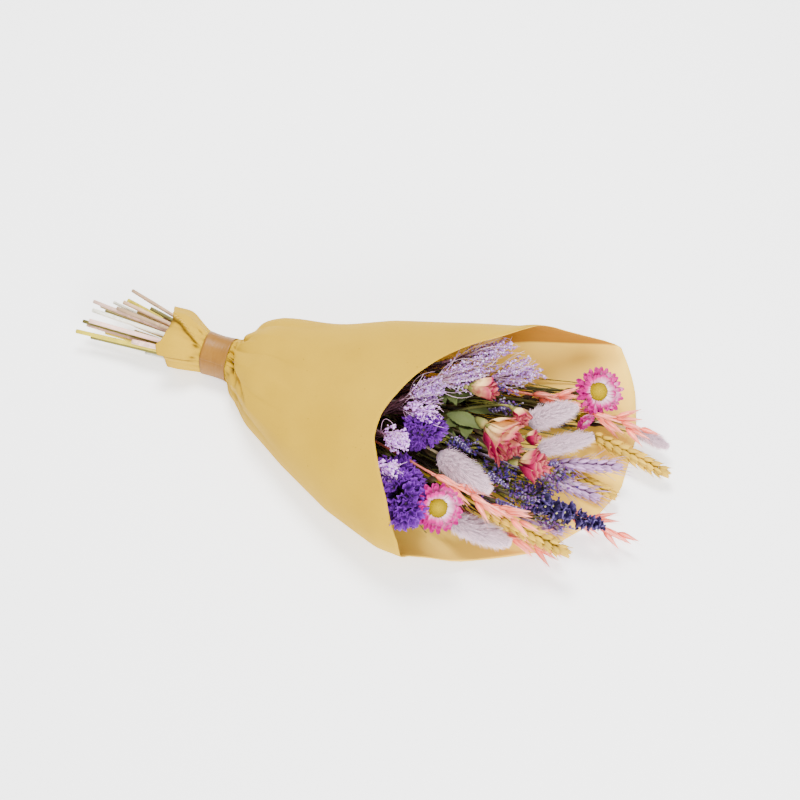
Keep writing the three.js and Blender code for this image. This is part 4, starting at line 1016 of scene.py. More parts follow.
def bunny_fur(plant, count):
    """A soft egg of hairs. A hair is rooted in a slim core and its tip lies on the egg, further
    forward than its root. Tips are drawn together in tufts."""
    bunch = Bunch()
    draw = np.random.default_rng(plant.seed + 60)
    u = (np.arange(count) + 0.5) / count
    out = plant.out(np.arange(count) * GOLDEN + draw.uniform(-0.2, 0.2, count))
    root = plant.at(u * 0.9 - 0.03) + out * (plant.radius * 0.5 * egg(u * 0.9 + 0.02))[:, None]
    ahead = np.minimum(u + draw.uniform(0.03, 0.16, count), 1.02)
    size = plant.radius * egg(ahead) * (0.74 + 0.4 * draw.beta(2, 2.6, count))
    size = size + 4.0 * draw.uniform(0, 1, count) ** 4
    tip = plant.at(ahead * 1.02 - 0.03) + out * size[:, None]
    tufts = tip[draw.integers(0, count, 420)]
    near = np.linalg.norm(tip[:, None] - tufts, axis=2).argmin(axis=1)
    tip = tip + (tufts[near] - tip) * draw.uniform(0, 0.55, (count, 1)) + draw.normal(0, 0.3, (count, 3))
    reach = tip - root
    hairs = spindles(root, reach, np.linalg.norm(reach, axis=1), 0.15, DOWN, 3)
    bunch.add(hairs, tone=draw.uniform(0, 1, count))
    body = [(t, max(0.05, egg(0.04 + 0.92 * t))) for t in np.linspace(0, 1, 12)]
    core = spindles(plant.at(-0.03), plant.way, plant.length, plant.radius * 0.66, body, 14)
    # The core's low along and tone give it the dark end of the ramp: painted shade under the hairs.
    bunch.add(core, np.full(12, 0.2), tone=0.1)
    return bunch


# Grains of a spikelet: how far they lean out, their place across the ear, and their length
SPIKELET = ((0.5, 0.0, 1.0), (0.4, 0.9, 0.95), (0.4, -0.9, 0.95), (0.2, 2.0, 0.85), (0.2, -2.0, 0.85))


def wheat_grains(plant, awn, slim):
    """Spikelets in two rows that take turns up the ear. Each is a fan of husked grains with a short
    bristle at each tip, and the ear ends in a crown of four."""
    bunch = Bunch()
    levels = int(plant.length / 4.2)
    draw = np.random.default_rng(plant.seed + 90)
    share = (np.arange(levels) + 0.3) / (levels + 0.6)
    sign = np.where(np.arange(levels) % 2, 1.0, -1.0)
    taper = 0.72 + 0.36 * np.sin(np.pi * share**0.8)
    for tilt, rise, long in SPIKELET:
        turn = sign * (np.pi / 2 - 0.62 * np.clip(rise, -1.4, 1.4)) + draw.normal(0, 0.08, levels)
        way = plant.lean(turn, tilt * slim + draw.normal(0, 0.04, levels))
        base = plant.at(share * 0.9) + way * 0.6
        base = base + plant.side * (sign * plant.radius * 0.22)[:, None] + plant.top * rise * 0.7
        size = 11.4 * long * taper
        grains = spindles(base, way, size, plant.radius * 0.31 * taper * slim, GRAIN, 8, 0.85, 0.05)
        bunch.add(grains, tone=draw.uniform(0, 1, levels))
        tips = base + way * size[:, None] * 0.94
        sway = unit(way + draw.normal(0, 0.1 + 0.012 * awn, (levels, 3)) + plant.way * 0.3)
        bristles = spindles(tips, sway, awn * draw.uniform(0.4, 1.1, levels), 0.28, HAIR, 4, bow=0.06)
        bunch.add(bristles, tone=draw.uniform(0.4, 1, levels))
    crown = plant.lean(np.arange(4) * GOLDEN, 0.22)
    crown = spindles(plant.at([0.84] * 4), crown, plant.length * 0.16, plant.radius * 0.34, GRAIN, 8)
    bunch.add(crown, tone=[0.3, 0.6, 0.8, 0.5])
    core = spindles(plant.at(-0.03), plant.way, plant.length * 0.95, plant.radius * 0.3, GRAIN, 8)
    bunch.add(core, tone=0.2)
    return bunch


def share_numbers(seed, count):
    """The plain-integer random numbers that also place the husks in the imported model."""
    keep = 0xFFFFFFFF
    numbers = []
    for _ in range(count):
        seed = (seed + 0x6D2B79F5) & keep
        t = ((seed ^ (seed >> 15)) * (1 | seed)) & keep
        t = ((t + (((t ^ (t >> 7)) * (61 | t)) & keep)) ^ t) & keep
        numbers.append((t ^ (t >> 14)) / 2**32)
    return numbers


def oat_husks(plant, width):
    """Husks on fine side stalks: two at each joint, one between joints and one at the tip. A husk is
    three boat-shaped blades round a slim seed, with a bristle."""
    bunch = Bunch()
    pairs = plant.count
    numbers = iter(share_numbers(plant.seed, 3 * pairs))
    husk = min(20, 0.3 * plant.length + 7)
    rows = []
    for n in range(pairs):
        turn = n * GOLDEN + next(numbers) * 0.6
        for open_up in (-0.13, 0.16):
            way = plant.lean(turn + open_up, 0.46 + open_up)
            rows.append((plant.at(0.8 * n / pairs), way, husk + 5 + 2 * next(numbers)))
        rows.append((plant.at((0.8 * n + 0.4) / pairs), plant.lean(turn + 1.9, 0.36), husk + 4))
    rows.append((plant.at(0.8), plant.way, min(22, 0.55 * plant.length)))
    bases, ways, reaches = (np.array(column) for column in zip(*rows))
    draw = np.random.default_rng(plant.seed)
    count = len(bases)
    start = bases + ways * 5
    add_twigs(bunch, bases, start + ways, 0.4, bow=0.1, seed=plant.seed, tone=0.7)
    side = square(ways)[0]
    for sign in (-1, 1, 0.4):
        face = np.cross(side, ways) * np.sign(sign) + side * (0.9 - np.abs(sign))
        husks = blades(start, unit(ways - face * 0.12), face, reaches - 4, width, HUSK, bend=0.22,
                       cup=0.85, across=7, ruffle=0.1, waves=2, seed=plant.seed)
        bunch.add(husks, tone=draw.uniform(0, 1, count))
    seeds = spindles(start + ways, ways, (reaches - 5) * 0.7, 1.0, GRAIN, 7)
    bunch.add(seeds, tone=draw.uniform(0.5, 1, count))
    bunch.add(spindles(start + ways * 2, ways + side * 0.12, reaches - 2, 0.22, HAIR, 4), tone=0.9)
    add_axis(bunch, plant, (-0.03, 0.86), (1.1, 0.5), 14, 0.6)
    return bunch


def broom_beads(plant, settings):
    """Fine twigs, each forking in five, that carry small round seed beads over most of their length.
    Beads lie loosely round the twigs, and thin curled twigs run between them."""
    bunch = Bunch()
    draw = np.random.default_rng(plant.seed)
    twigs, split = 7, 5
    numbers = np.array(share_numbers(plant.seed, twigs))
    order = np.repeat(np.arange(twigs), split)
    fork = np.tile(np.arange(split), twigs)
    count = len(order)
    start = plant.at(0.05 + 0.42 * order / twigs)
    main = plant.lean(order * GOLDEN, 0.5 - 0.42 * order / twigs)
    reach = plant.length * (0.66 + 0.12 * numbers[order] - 0.12 * order / twigs)
    apart = np.where(fork == 0, 0.0, 0.17)
    way = lean(main, fork * 1.6 + order, apart + draw.normal(0, 0.03, count))
    end = start + way * (reach * np.where(fork == 0, 1.0, draw.uniform(0.78, 0.98, count)))[:, None]
    tone = draw.uniform(0, 0.4, count)
    held = inside_wrap(end)
    start, end, tone, count = start[held], end[held], tone[held], held.sum()
    path = add_twigs(bunch, start, end, 0.42, bow=0.04, levels=7, seed=plant.seed, tone=tone)
    back = start - plant.way * draw.uniform(12, 40, (count, 1)) + draw.normal(0, 3.2, (count, 3))
    back[:, 2] -= 5
    foot = start + draw.normal(0, 1.5, (count, 3))
    add_twigs(bunch, back, foot, 0.5, seed=plant.seed + 7, tone=0.0)
    curl = draw.integers(0, count, 26)
    tip = end[curl] + draw.normal(0, 3.0, (26, 3))
    add_twigs(bunch, start[curl], tip, 0.24, bow=0.16, levels=10, seed=plant.seed + 9, tone=0.46)
    add_axis(bunch, plant, (-0.06, 0.5), (1.1, 0.7), 8, 0.2)
    each = settings.beads // count + 1
    place = draw.uniform(0.2, 1.0, (count, each)) ** 0.8 * (path.shape[1] - 1.001)
    low = place.astype(int)
    part = (place - low)[..., None]
    row = np.arange(count)[:, None]
    spot = path[row, low] * (1 - part) + path[row, low + 1] * part
    loose = unit(draw.normal(0, 1, (count, each, 3)))
    spot = (spot + loose * draw.uniform(0.3, 1.7, (count, each, 1))).reshape(-1, 3)
    size = draw.uniform(0.62, 1.05, len(spot)) * settings.bead_size / MM / 2
    aim = unit(loose.reshape(-1, 3) + plant.way * 0.8)
    kept = inside_wrap(spot)
    spot, size, aim = spot[kept], size[kept], aim[kept]
    beads = spindles(spot - aim * size[:, None], aim, size * 2.1, size, BEAD, 5)
    bunch.add(beads, tone=0.55 + 0.45 * draw.uniform(0, 1, len(spot)))
    return bunch


# Rings of a funnel, up its outside and down its throat: place along it, width, wave and along
FUNNEL = (
    (0.3, 0.25, 0.0, 0.0), (0.66, 0.42, 0.08, 0.3), (0.92, 0.8, 0.2, 0.75), (1.02, 1.0, 0.32, 1.0),
    (1.01, 0.93, 0.3, 0.95), (0.9, 0.5, 0.12, 0.5), (0.78, 0.2, 0.0, 0.2),
)


def statice_cups(plant, cups):
    """Papery funnels crowded over a dome. A funnel's radius opens from its foot to a waved rim with
    five notches, and its inside runs back down to the throat."""
    bunch = Bunch()
    count = int(cups * (plant.radius / 18) ** 1.2)
    draw = np.random.default_rng(plant.seed + 30)
    share = (np.arange(count) + 0.5) / count
    tilt = np.minimum(np.arccos(1 - 1.75 * share), 1.7)
    way = plant.lean(np.arange(count) * GOLDEN, tilt + draw.normal(0, 0.2, count))
    base = plant.at(0.1 + 0.68 * (1 - share))
    reach = plant.radius * draw.uniform(0.84, 1.12, count)
    size = draw.uniform(0.8, 1.25, (count, 1)) * (0.09 * plant.radius + 1.9)
    phase = draw.uniform(0, 6.28, (count, 1))
    angle, around = circle(16), ring(*square(way), 16)
    made = []
    for place, wide, wave, _ in FUNNEL:
        lobes = 1 + wave * np.cos(5 * angle + phase) + 0.4 * wave * np.cos(9 * angle + 2 * phase)
        lift = reach[:, None] * place + size * wave * 1.6 * np.sin(5 * angle + phase * 2)
        middle = base[:, None] + way[:, None] * lift[..., None]
        made.append(middle + around * (size * wide * lobes)[..., None])
    along = [row[3] for row in FUNNEL]
    bunch.add(np.stack(made, axis=1), along, tone=draw.uniform(0, 1, count))
    stubs = plant.at(0.2 + 0.5 * draw.uniform(0, 1, count))
    bunch.add(spindles(stubs, way, reach * 0.5, 0.8, HAIR, 5), [0, 0, 0], tone=0.0)
    return bunch


def delphinium_sepals(plant, florets):
    """Florets of five crinkled cupped sepals round a raceme, each with a small pale eye. They are
    smaller just past the middle, where the raceme has a gap."""
    bunch, eyes = Bunch(), Bunch()
    draw = np.random.default_rng(17)
    share = (np.arange(florets) + 0.4) / florets
    face = plant.lean(np.arange(florets) * GOLDEN, 1.15 - 0.75 * share)
    size = plant.radius * np.where(share < 0.56, 0.68, np.where(share < 0.64, 0.34, 0.74 - 0.3 * share**3))
    size = size * draw.uniform(0.7, 1.1, florets)
    middle = plant.at(share) + face * (size * 0.55)[:, None]
    side, top = square(face)
    for sepal in range(5):
        turn = sepal * 2 * np.pi / 5 + np.arange(florets)
        way = unit(np.sin(turn)[:, None] * side + np.cos(turn)[:, None] * top + face * 0.35)
        sepals = blades(middle, way, face, size * draw.uniform(0.6, 1.05, florets), size * 0.66, LENS,
                        bend=0.8, cup=0.5, ruffle=1.0, waves=4, seed=40 + sepal)
        bunch.add(sepals, tone=draw.uniform(0, 1, florets))
    for n in range(6):
        eye = spindles(middle, lean(face, n * 1.05, 0.35), size * 0.26, 0.5, BUD, 5)
        eyes.add(eye, tone=draw.uniform(0, 1, florets))
    add_twigs(bunch, plant.at(share - 0.03), middle, 0.5, bow=0.03, tone=0.1)
    add_axis(bunch, plant, (0, 0.98), (1.5, 0.8), 10, 0.0, np.zeros(10))
    return bunch, eyes


def lavender_buds(plant):
    """Whorls of small pointed buds up a slim spike, a little looser towards its foot."""
    bunch = Bunch()
    draw = np.random.default_rng(plant.seed + 20)
    whorls, each = int(plant.length / 2.6), 9
    share = np.repeat((np.arange(whorls) + 0.2) / whorls, each)
    turn = np.tile(circle(each), whorls) + np.repeat(np.arange(whorls) * 0.7, each)
    count = len(share)
    tilt = 0.75 - 0.35 * share + draw.normal(0, 0.12, count)
    size = (3.9 - 1.4 * share) * draw.uniform(0.8, 1.15, count)
    buds = spindles(plant.at(share * 0.95), plant.lean(turn, tilt), size, 0.75, BUD, 6, bow=0.05)
    bunch.add(buds, tone=draw.uniform(0.2, 1, count))
    tuft = spindles(plant.at(share * 0.92), plant.lean(turn * 1.7, tilt * 0.8), size * 1.15, 0.2, HAIR, 3)
    bunch.add(tuft, tone=draw.uniform(0, 0.2, count))
    add_axis(bunch, plant, (-0.05, 0.98), (1.0, 0.5), 8, 0.0)
    return bunch


def dark_twigs(count):
    """Thin brown and green twigs and narrow leaves that fill the gaps between the flowers. Each runs
    from the line between the neck and a flower to a point behind that flower."""
    # The twigs' very dark colour also stands in for the shade in the gaps between the flowers: partly
    # painted shade.
    bunch = Bunch()
    draw = np.random.default_rng(5)
    heads = list(PLANTS.values())
    near = [heads[n] for n in draw.integers(0, len(heads), count)]
    end = np.array([plant.base for plant in near])
    end = end + np.array([plant.way for plant in near]) * draw.uniform(-34, -3, (count, 1))
    end = end + draw.normal(0, 6, (count, 3))
    end[:, 2] = np.clip(end[:, 2] - draw.uniform(4, 24, count), 9, 66)
    neck = np.array([60.0, -6.0, 24.0])
    start = neck + (end - neck) * draw.uniform(0.3, 0.62, (count, 1))
    add_twigs(bunch, start, end, draw.uniform(0.4, 1.25, count), bow=0.03, levels=7, seed=6,
              tone=draw.uniform(0, 1, count))
    root = start + (end - start) * draw.uniform(0.5, 0.95, (count, 1))
    way = lean(unit(end - start), draw.uniform(0, 6.28, count), draw.uniform(0.15, 0.6, count))
    long = draw.uniform(9, 22, count)
    held = inside_wrap(root + way * long[:, None], 10.0)
    root, way, long, count = root[held], way[held], long[held], held.sum()
    leaves = blades(root, way, square(way)[1], long, draw.uniform(2.6, 7.5, count), LEAF,
                    draw.uniform(-0.4, 0.4, count), across=3, seed=8)
    bunch.add(leaves, tone=draw.uniform(0, 1, count))
    return bunch


# Clouds of sea lavender: middle, reach each way and florets
CLOUDS = (
    ((270, -42, 46), (14, 8, 5), 170), ((293, -52, 40), (14, 8, 5), 190), ((308, -38, 33), (12, 7, 4), 150),
    ((262, 12, 51), (9, 5, 4), 110), ((237, -34, 55), (12, 6, 4), 120), ((252, -58, 48), (12, 6, 5), 120),
    ((318, -22, 30), (10, 7, 4), 110), ((322, -62, 28), (12, 5, 4), 90), ((244, 26, 54), (12, 5, 4), 90),
)
FLORET = [(0, 0.3), (0.6, 0.65), (1, 1), (0.8, 0.1)]


def sea_lavender():
    """Loose clouds of tiny florets on thin branching stalks. A floret is a small five-sided cup whose
    inside runs back down."""
    florets, stalks = Bunch(), Bunch()
    draw = np.random.default_rng(12)
    for n, (centre, reach, count) in enumerate(CLOUDS):
        spot = np.array(centre, float) + draw.normal(0, 0.55, (count, 3)) * reach
        foot = np.array(centre, float) - [34, 0, 8] + draw.normal(0, 2.0, (14, 3))
        fork = foot + (spot[:14] - foot) * 0.72
        add_twigs(stalks, foot, fork, 0.55, seed=n, tone=draw.uniform(0, 1, 14))
        near = np.linalg.norm(spot[:, None] - fork, axis=2).argmin(axis=1)
        add_twigs(stalks, fork[near], spot, 0.28, bow=0.08, sides=3, levels=3, seed=n + 40,
                  tone=draw.uniform(0, 1, count))
        way = unit(spot - fork[near] + draw.normal(0, 2, (count, 3)))
        size = draw.uniform(1.6, 2.8, count)
        tone = np.clip(draw.normal(0.35 + 0.1 * (n % 4), 0.25, count), 0, 1)
        florets.add(spindles(spot - way, way, size, size * 0.42, FLORET, 5), [0, 0.4, 1, 0.2], tone)
    return florets, stalks


# Sizes and colours that a user would change


def tint(name, description, red, green, blue):
    """A colour, given as it is seen."""
    return FloatVectorProperty(name=name, description=description, subtype="COLOR", size=3, min=0, max=1,
                               default=seen(red, green, blue))


def measure(name, description, default, low, high):
    """A length in metres."""
    return FloatProperty(name=name, description=description, default=default, min=low, max=high,
                         unit="LENGTH", precision=4)


def number(name, description, default, low, high):
    """A whole number."""
    return IntProperty(name=name, description=description, default=default, min=low, max=high)


class PaperSettings(bpy.types.PropertyGroup):
    colour: tint("Paper", "Kraft paper in the light", 178, 152, 98)
    # Lighter than the outer paper: painted light on the inner face.
    inside: tint("Paper inside", "Inner face of the kraft paper", 234, 204, 144)
    # Painted shade on the inner face where it is turned over under the far rim.
    turned: tint("Paper turned over", "Inner face under the far rim", 130, 88, 42)
    shade: tint("Paper shade", "Darker clouds in the kraft paper", 162, 137, 87)
    # Also mixed into the hollows of the outer face as painted shade.
    fleck_and_crease_shade: tint("Fleck", "Dark fibres in the paper", 70, 52, 30)
    tape: tint("Tape", "Paper tape round the neck", 126, 97, 68)
    tape_shade: tint("Tape shade", "Darker parts of the tape", 110, 82, 56)
    twine: tint("Twine", "Tie round the stems", 170, 130, 82)
    thickness: measure("Paper thickness", "Thickness of the sheet", 0.0005, 0.0002, 0.0008)
    tape_thickness: measure("Tape thickness", "Thickness of the tape", 0.00025, 0.0001, 0.0006)
    columns: number("Columns", "Grid lines round the paper", 264, 60, 400)
    neck_rows: number("Neck rows", "Grid lines along the collar and neck", 80, 20, 120)
    flare_rows: number("Flare rows", "Grid lines along the flare", 40, 20, 120)


class RoseSettings(bpy.types.PropertyGroup):
    cream: tint("Cream", "Outer petals", 250, 210, 170)
    pink: tint("Pink", "Inner petals", 144, 58, 82)
    rim: tint("Rim", "Edges of the petals", 108, 36, 56)
    green: tint("Green", "Cups, branches and stems", 108, 108, 76)
    leaf: tint("Leaf", "Leaves", 72, 78, 54)
    petals: number("Petals", "Petals of a large bloom", 28, 12, 48)


class DaisySettings(bpy.types.PropertyGroup):
    white: tint("White", "Petals near the disc", 240, 218, 230)
    pink: tint("Pink", "Petals at their tips", 168, 66, 120)
    disc: tint("Disc", "Florets of the disc", 158, 142, 76)
    rays: number("Petals", "Petals in one row", 22, 8, 28)
    florets: number("Florets", "Florets of the disc", 260, 60, 400)
    curl: FloatProperty(name="Curl", description="How far petals turn up", default=0.12, subtype="ANGLE")


class GrassSettings(bpy.types.PropertyGroup):
    down: tint("Down", "Bunny tails", 232, 213, 221)
    straw: tint("Straw", "Wheat", 190, 163, 110)
    lilac: tint("Lilac", "Dyed wheat", 172, 146, 174)
    pink: tint("Pink", "Dyed oats", 228, 148, 136)
    hairs: number("Hairs", "Hairs of one bunny tail", 4300, 200, 8000)
    awn: measure("Awn", "Bristles of the wheat", 0.004, 0.0, 0.06)
    lilac_awn: measure("Lilac awn", "Bristles of the dyed wheat", 0.014, 0.0, 0.06)
    husk_width: measure("Husk width", "Width of an oat husk laid flat", 0.0039, 0.002, 0.012)


class SprigSettings(bpy.types.PropertyGroup):
    lilac: tint("Lilac", "Lilac broom bloom", 158, 124, 176)
    pale: tint("Pale", "Pale broom bloom", 204, 158, 222)
    statice: tint("Statice", "Purple statice", 74, 22, 104)
    delphinium: tint("Delphinium", "Deep blue florets", 30, 20, 54)
    lavender: tint("Lavender", "Lavender buds", 82, 66, 108)
    # Very dark, partly as painted shade in the gaps between the flowers.
    twig: tint("Twig", "Dark twigs between the flowers", 56, 42, 32)
    bead_size: measure("Bead", "Width of a seed bead", 0.002, 0.0005, 0.004)
    beads: number("Beads", "Beads of one spray", 480, 50, 1000)
    cups: number("Cups", "Funnels of the larger statice", 146, 10, 260)
    florets: number("Florets", "Florets of the delphinium", 60, 6, 90)
    twigs: number("Twigs", "Dark twigs between the flowers", 460, 0, 900)


class StageSettings(bpy.types.PropertyGroup):
    floor: tint("Floor", "The floor", 250, 250, 250)
    distance: measure("Distance", "Length of the view line", 1.15, 0.5, 3)
    lens: FloatProperty(name="Lens", description="Focal length", default=62.35, subtype="DISTANCE_CAMERA")
    power: FloatProperty(name="Light", description="Main light", default=58, unit="POWER")
    sky: FloatProperty(name="Sky", description="Brightness of the surroundings", default=1.3)


# Operators, one for each kind of plant


class Maker(bpy.types.Operator):
    """What the bouquet's operators share"""

    bl_options = {"REGISTER", "UNDO"}


class BOUQUET_OT_wrap(Maker):
    """Make the paper wrap and its tape, and finish the tie"""

    bl_idname = "bouquet.wrap"
    bl_label = "Paper wrap"

    def execute(self, context):
        paper = context.scene.bouquet_paper
        paper_sheet(paper).piece("paper_sheet", kraft_paper(paper), "kraft_paper", "paper_wrap")
        tape_strip(paper).piece("tape_strip", tape_paper(paper), "paper_tape", "paper_tape")
        finished = twine(paper)
        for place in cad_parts["stem_tie"].material_slots:
            place.material = finished
        return {"FINISHED"}


# Groups of stems: piece, kind, slot, width, knots, and colours at the cut ends and further in
STALKS = (
    ("rose_stalks", "rose", "dried_green", 1.9, 0.0, (120, 114, 84), (92, 90, 62)),
    ("daisy_stalks", "daisy", "dried_green", 1.9, 0.0, (198, 184, 118), (110, 106, 74)),
    ("bunny_stalks", "bunny", "bunny_down", 1.7, 0.12, (250, 246, 234), (190, 176, 150)),
    ("wheat_stalks", "wheat", "straw", 1.9, 0.2, (206, 190, 124), (172, 148, 98)),
    ("lilac_wheat_stalks", "lilac_wheat", "lilac_straw", 1.8, 0.2, (238, 222, 218), (150, 134, 152)),
    ("oat_stalks", "oat", "pink_straw", 1.8, 0.2, (248, 206, 192), (214, 142, 130)),
    ("broom_lilac_stalks", "broom_lilac", "broom_lilac", 1.8, 0.0, (196, 172, 150), (112, 98, 98)),
    ("broom_pale_stalks", "broom_pale", "broom_pale", 1.9, 0.0, (250, 212, 200), (160, 138, 148)),
    ("statice_stalks", "statice", "dried_green", 1.9, 0.0, (110, 104, 72), (80, 80, 56)),
    ("delphinium_stalk", "delphinium", "dried_green", 1.9, 0.0, (128, 124, 78), (80, 82, 58)),
    ("lavender_stalks", "lavender", "lavender", 1.8, 0.0, (190, 176, 138), (84, 78, 66)),
)


class BOUQUET_OT_stalks(Maker):
    """Make the stems, from their cut ends to the flowers"""

    bl_idname = "bouquet.stalks"
    bl_label = "Stems"

    def execute(self, context):
        for name, kind, slot, thick, knots, cut, far in STALKS:
            bunch, group = Bunch(), of_kind(kind)
            add_stalks(bunch, group, thick, knots)
            cut, far = seen(*cut), seen(*far)
            # Past the neck the ramp falls to under half the far colour: painted shade where the stems run
            # among the flowers inside the wrap.
            stops = [*shades(cut, (0.0, 0.75), (0.02, 1)), (0.35, between(cut, far, 0.5)),
                     *shades(far, (0.6, 0.4), (0.85, 0.5), (1.0, 0.85))]
            material = tissue(name, stops, rough=0.6, shift=0.3, mottle=0.5, light=0.35, grain=0.45,
                              fine=900, stretch=(0.06, 1, 1), bump=0.5)
            suffix = "_stem" if kind in ("daisy", "statice", "delphinium") else ""
            bunch.piece(name, material, slot, *[plant.name + suffix for plant in group])
        return {"FINISHED"}


class BOUQUET_OT_roses(Maker):
    """Make the rose blooms, cups, branches and leaves"""

    bl_idname = "bouquet.roses"
    bl_label = "Roses"

    def execute(self, context):
        rose = context.scene.bouquet_rose
        for name, (flower, open_up, pinkness) in ROSES.items():
            petal = rose_petal(name, pinkness, rose)
            rose_bloom(flower, open_up, rose.petals).piece(name + "_ruffles", petal, "rose_petal", name)
        stems = ("rose_stem_1", "rose_stem_2")
        stops = [*shades(rose.green, (0.0, 0.6), (0.6, 1)), (1.0, between(rose.green, rose.cream, 0.3))]
        rose_green().piece("rose_cups", tissue("rose_green", stops), "dried_green", *stems)
        stops = shades(rose.leaf, (0.0, 0.7), (0.5, 1), (1.0, 0.85))
        rose_leaves().piece("rose_leaves", tissue("rose_leaf", stops, grain=0.5), "dried_green", *stems)
        return {"FINISHED"}


class BOUQUET_OT_daisies(Maker):
    """Make the everlasting daisies"""

    bl_idname = "bouquet.daisies"
    bl_label = "Daisies"

    def execute(self, context):
        daisy = context.scene.bouquet_daisy
        stops = [(0.0, between(daisy.white, daisy.pink, 0.15)), (0.14, daisy.white),
                 (0.38, between(daisy.white, daisy.pink, 0.6)), *shades(daisy.pink, (0.62, 1), (1.0, 0.6))]
        ray = tissue("daisy_ray", stops, rough=0.45, shift=0.5, mottle=0.35, light=0.2, grain=0.3,
                     fine=1200, bump=0.4)
        stops = [(0.0, seen(84, 66, 24)), *shades(daisy.disc, (0.3, 0.45), (0.7, 1))]
        floret = tissue("daisy_floret", stops, rough=0.95, shift=0.6, mottle=0.3, light=0.7, grain=0.4,
                        fine=1500, gloss=0.0)
        for plant in of_kind("daisy"):
            petals, rise = (daisy.rays - 6, 0.75) if plant.radius < 15 else (daisy.rays, 0.2)
            rays = daisy_rays(plant, petals, rise, daisy.curl)
            rays.piece(plant.name + "_rays", ray, "daisy_petal", plant.name + "_petals")
            florets = daisy_florets(plant, daisy.florets)
            florets.piece(plant.name + "_florets", floret, "daisy_disc", plant.name + "_disc")
        return {"FINISHED"}


class BOUQUET_OT_bunny_tails(Maker):
    """Make the fur of the bunny tails"""

    bl_idname = "bouquet.bunny_tails"
    bl_label = "Bunny tails"

    def execute(self, context):
        grass = context.scene.bouquet_grass
        # Darker towards the roots of the hairs and on the core: painted shade inside the fur.
        stops = shades(grass.down, (0.0, 0.4), (0.4, 0.7), (0.75, 0.97), (1.0, 1))
        fur = tissue("bunny_fur", stops, rough=0.85, shift=0.2, light=0.2, grain=0.15, bump=0.2)
        for plant in of_kind("bunny"):
            bunny_fur(plant, grass.hairs).piece(plant.name + "_fur", fur, "bunny_down", plant.name)
        return {"FINISHED"}


class BOUQUET_OT_wheat(Maker):
    """Make the ears of the natural and the dyed wheat"""

    bl_idname = "bouquet.wheat"
    bl_label = "Wheat"

    def execute(self, context):
        grass = context.scene.bouquet_grass
        for kind, colour, slot, awn, slim in (
            ("wheat", grass.straw, "straw", grass.awn, 1.0),
            ("lilac_wheat", grass.lilac, "lilac_straw", grass.lilac_awn, 0.86),
        ):
            stops = shades(colour, (0.0, 0.35), (0.3, 0.8), (0.75, 1), (1.0, 1.12))
            husk = tissue(kind + "_husk", stops, rough=0.55, shift=0.25, mottle=0.25, light=0.4, grain=0.4,
                          fine=1000, stretch=(0.15, 1, 1), bump=0.5)
            for plant in of_kind(kind):
                wheat_grains(plant, awn / MM, slim).piece(plant.name + "_grains", husk, slot, plant.name)
        return {"FINISHED"}


class BOUQUET_OT_oats(Maker):
    """Make the husks of the dyed oats"""

    bl_idname = "bouquet.oats"
    bl_label = "Oats"

    def execute(self, context):
        grass = context.scene.bouquet_grass
        stops = [*shades(grass.pink, (0.0, 0.6), (0.35, 1)), (0.8, between(grass.pink, (1, 0.9, 0.8), 0.25)),
                 (1.0, grass.pink)]
        husk = tissue("oat_husk", stops, rough=0.4, shift=0.25, mottle=0.25, light=0.3, fine=1100,
                      stretch=(0.1, 1, 1), bump=0.5)
        for plant in of_kind("oat"):
            husks = oat_husks(plant, grass.husk_width / MM)
            husks.piece(plant.name + "_husks", husk, "pink_straw", plant.name)
        return {"FINISHED"}


class BOUQUET_OT_broom(Maker):
    """Make the beads and twigs of the broom bloom"""

    bl_idname = "bouquet.broom"
    bl_label = "Broom bloom"

    def execute(self, context):
        sprig = context.scene.bouquet_sprig
        for kind, colour in (("broom_lilac", sprig.lilac), ("broom_pale", sprig.pale)):
            bead = broom_bead(kind, colour)
            for plant in of_kind(kind):
                broom_beads(plant, sprig).piece(plant.name + "_beads", bead, kind, plant.name)
        return {"FINISHED"}


class BOUQUET_OT_statice(Maker):
    """Make the funnels of the statice"""

    bl_idname = "bouquet.statice"
    bl_label = "Statice"

    def execute(self, context):
        sprig = context.scene.bouquet_sprig
        # Darker down each funnel's throat as painted shade, and a lighter violet at the rims as a painted
        # highlight.
        stops = [(0.0, seen(92, 88, 60)), *shades(sprig.statice, (0.25, 0.5), (0.7, 1)),
                 (1.0, between(sprig.statice, (0.4, 0.1, 0.8), 0.16))]
        cup = tissue("statice_cup", stops, rough=0.7, shift=0.2, mottle=0.3, light=0.6, grain=0.4, fine=900,
                     bump=0.6)
        for plant in of_kind("statice"):
            cups = statice_cups(plant, sprig.cups)
            cups.piece(plant.name + "_cups", cup, "statice_purple", plant.name + "_head")
        return {"FINISHED"}


class BOUQUET_OT_delphinium(Maker):
    """Make the florets of the delphinium"""

    bl_idname = "bouquet.delphinium"
    bl_label = "Delphinium"

    def execute(self, context):
        sprig = context.scene.bouquet_sprig
        blue = sprig.delphinium
        stops = [*shades(blue, (0.0, 0.6), (0.5, 1)), (1.0, between(blue, (0.4, 0.3, 0.8), 0.24))]
        sepal = tissue("delphinium_sepal", stops, rough=0.55, shift=0.3, mottle=0.4, light=0.6, grain=0.4,
                       fine=900, bump=0.6)
        eye = tissue("delphinium_eye", [(0.0, seen(120, 118, 70)), (1.0, seen(226, 220, 176))])
        sepals, eyes = delphinium_sepals(PLANTS["delphinium"], sprig.florets)
        sepals.piece("delphinium_sepals", sepal, "delphinium_blue", "delphinium_florets")
        eyes.piece("delphinium_eyes", eye, "delphinium_blue", "delphinium_florets")
        return {"FINISHED"}


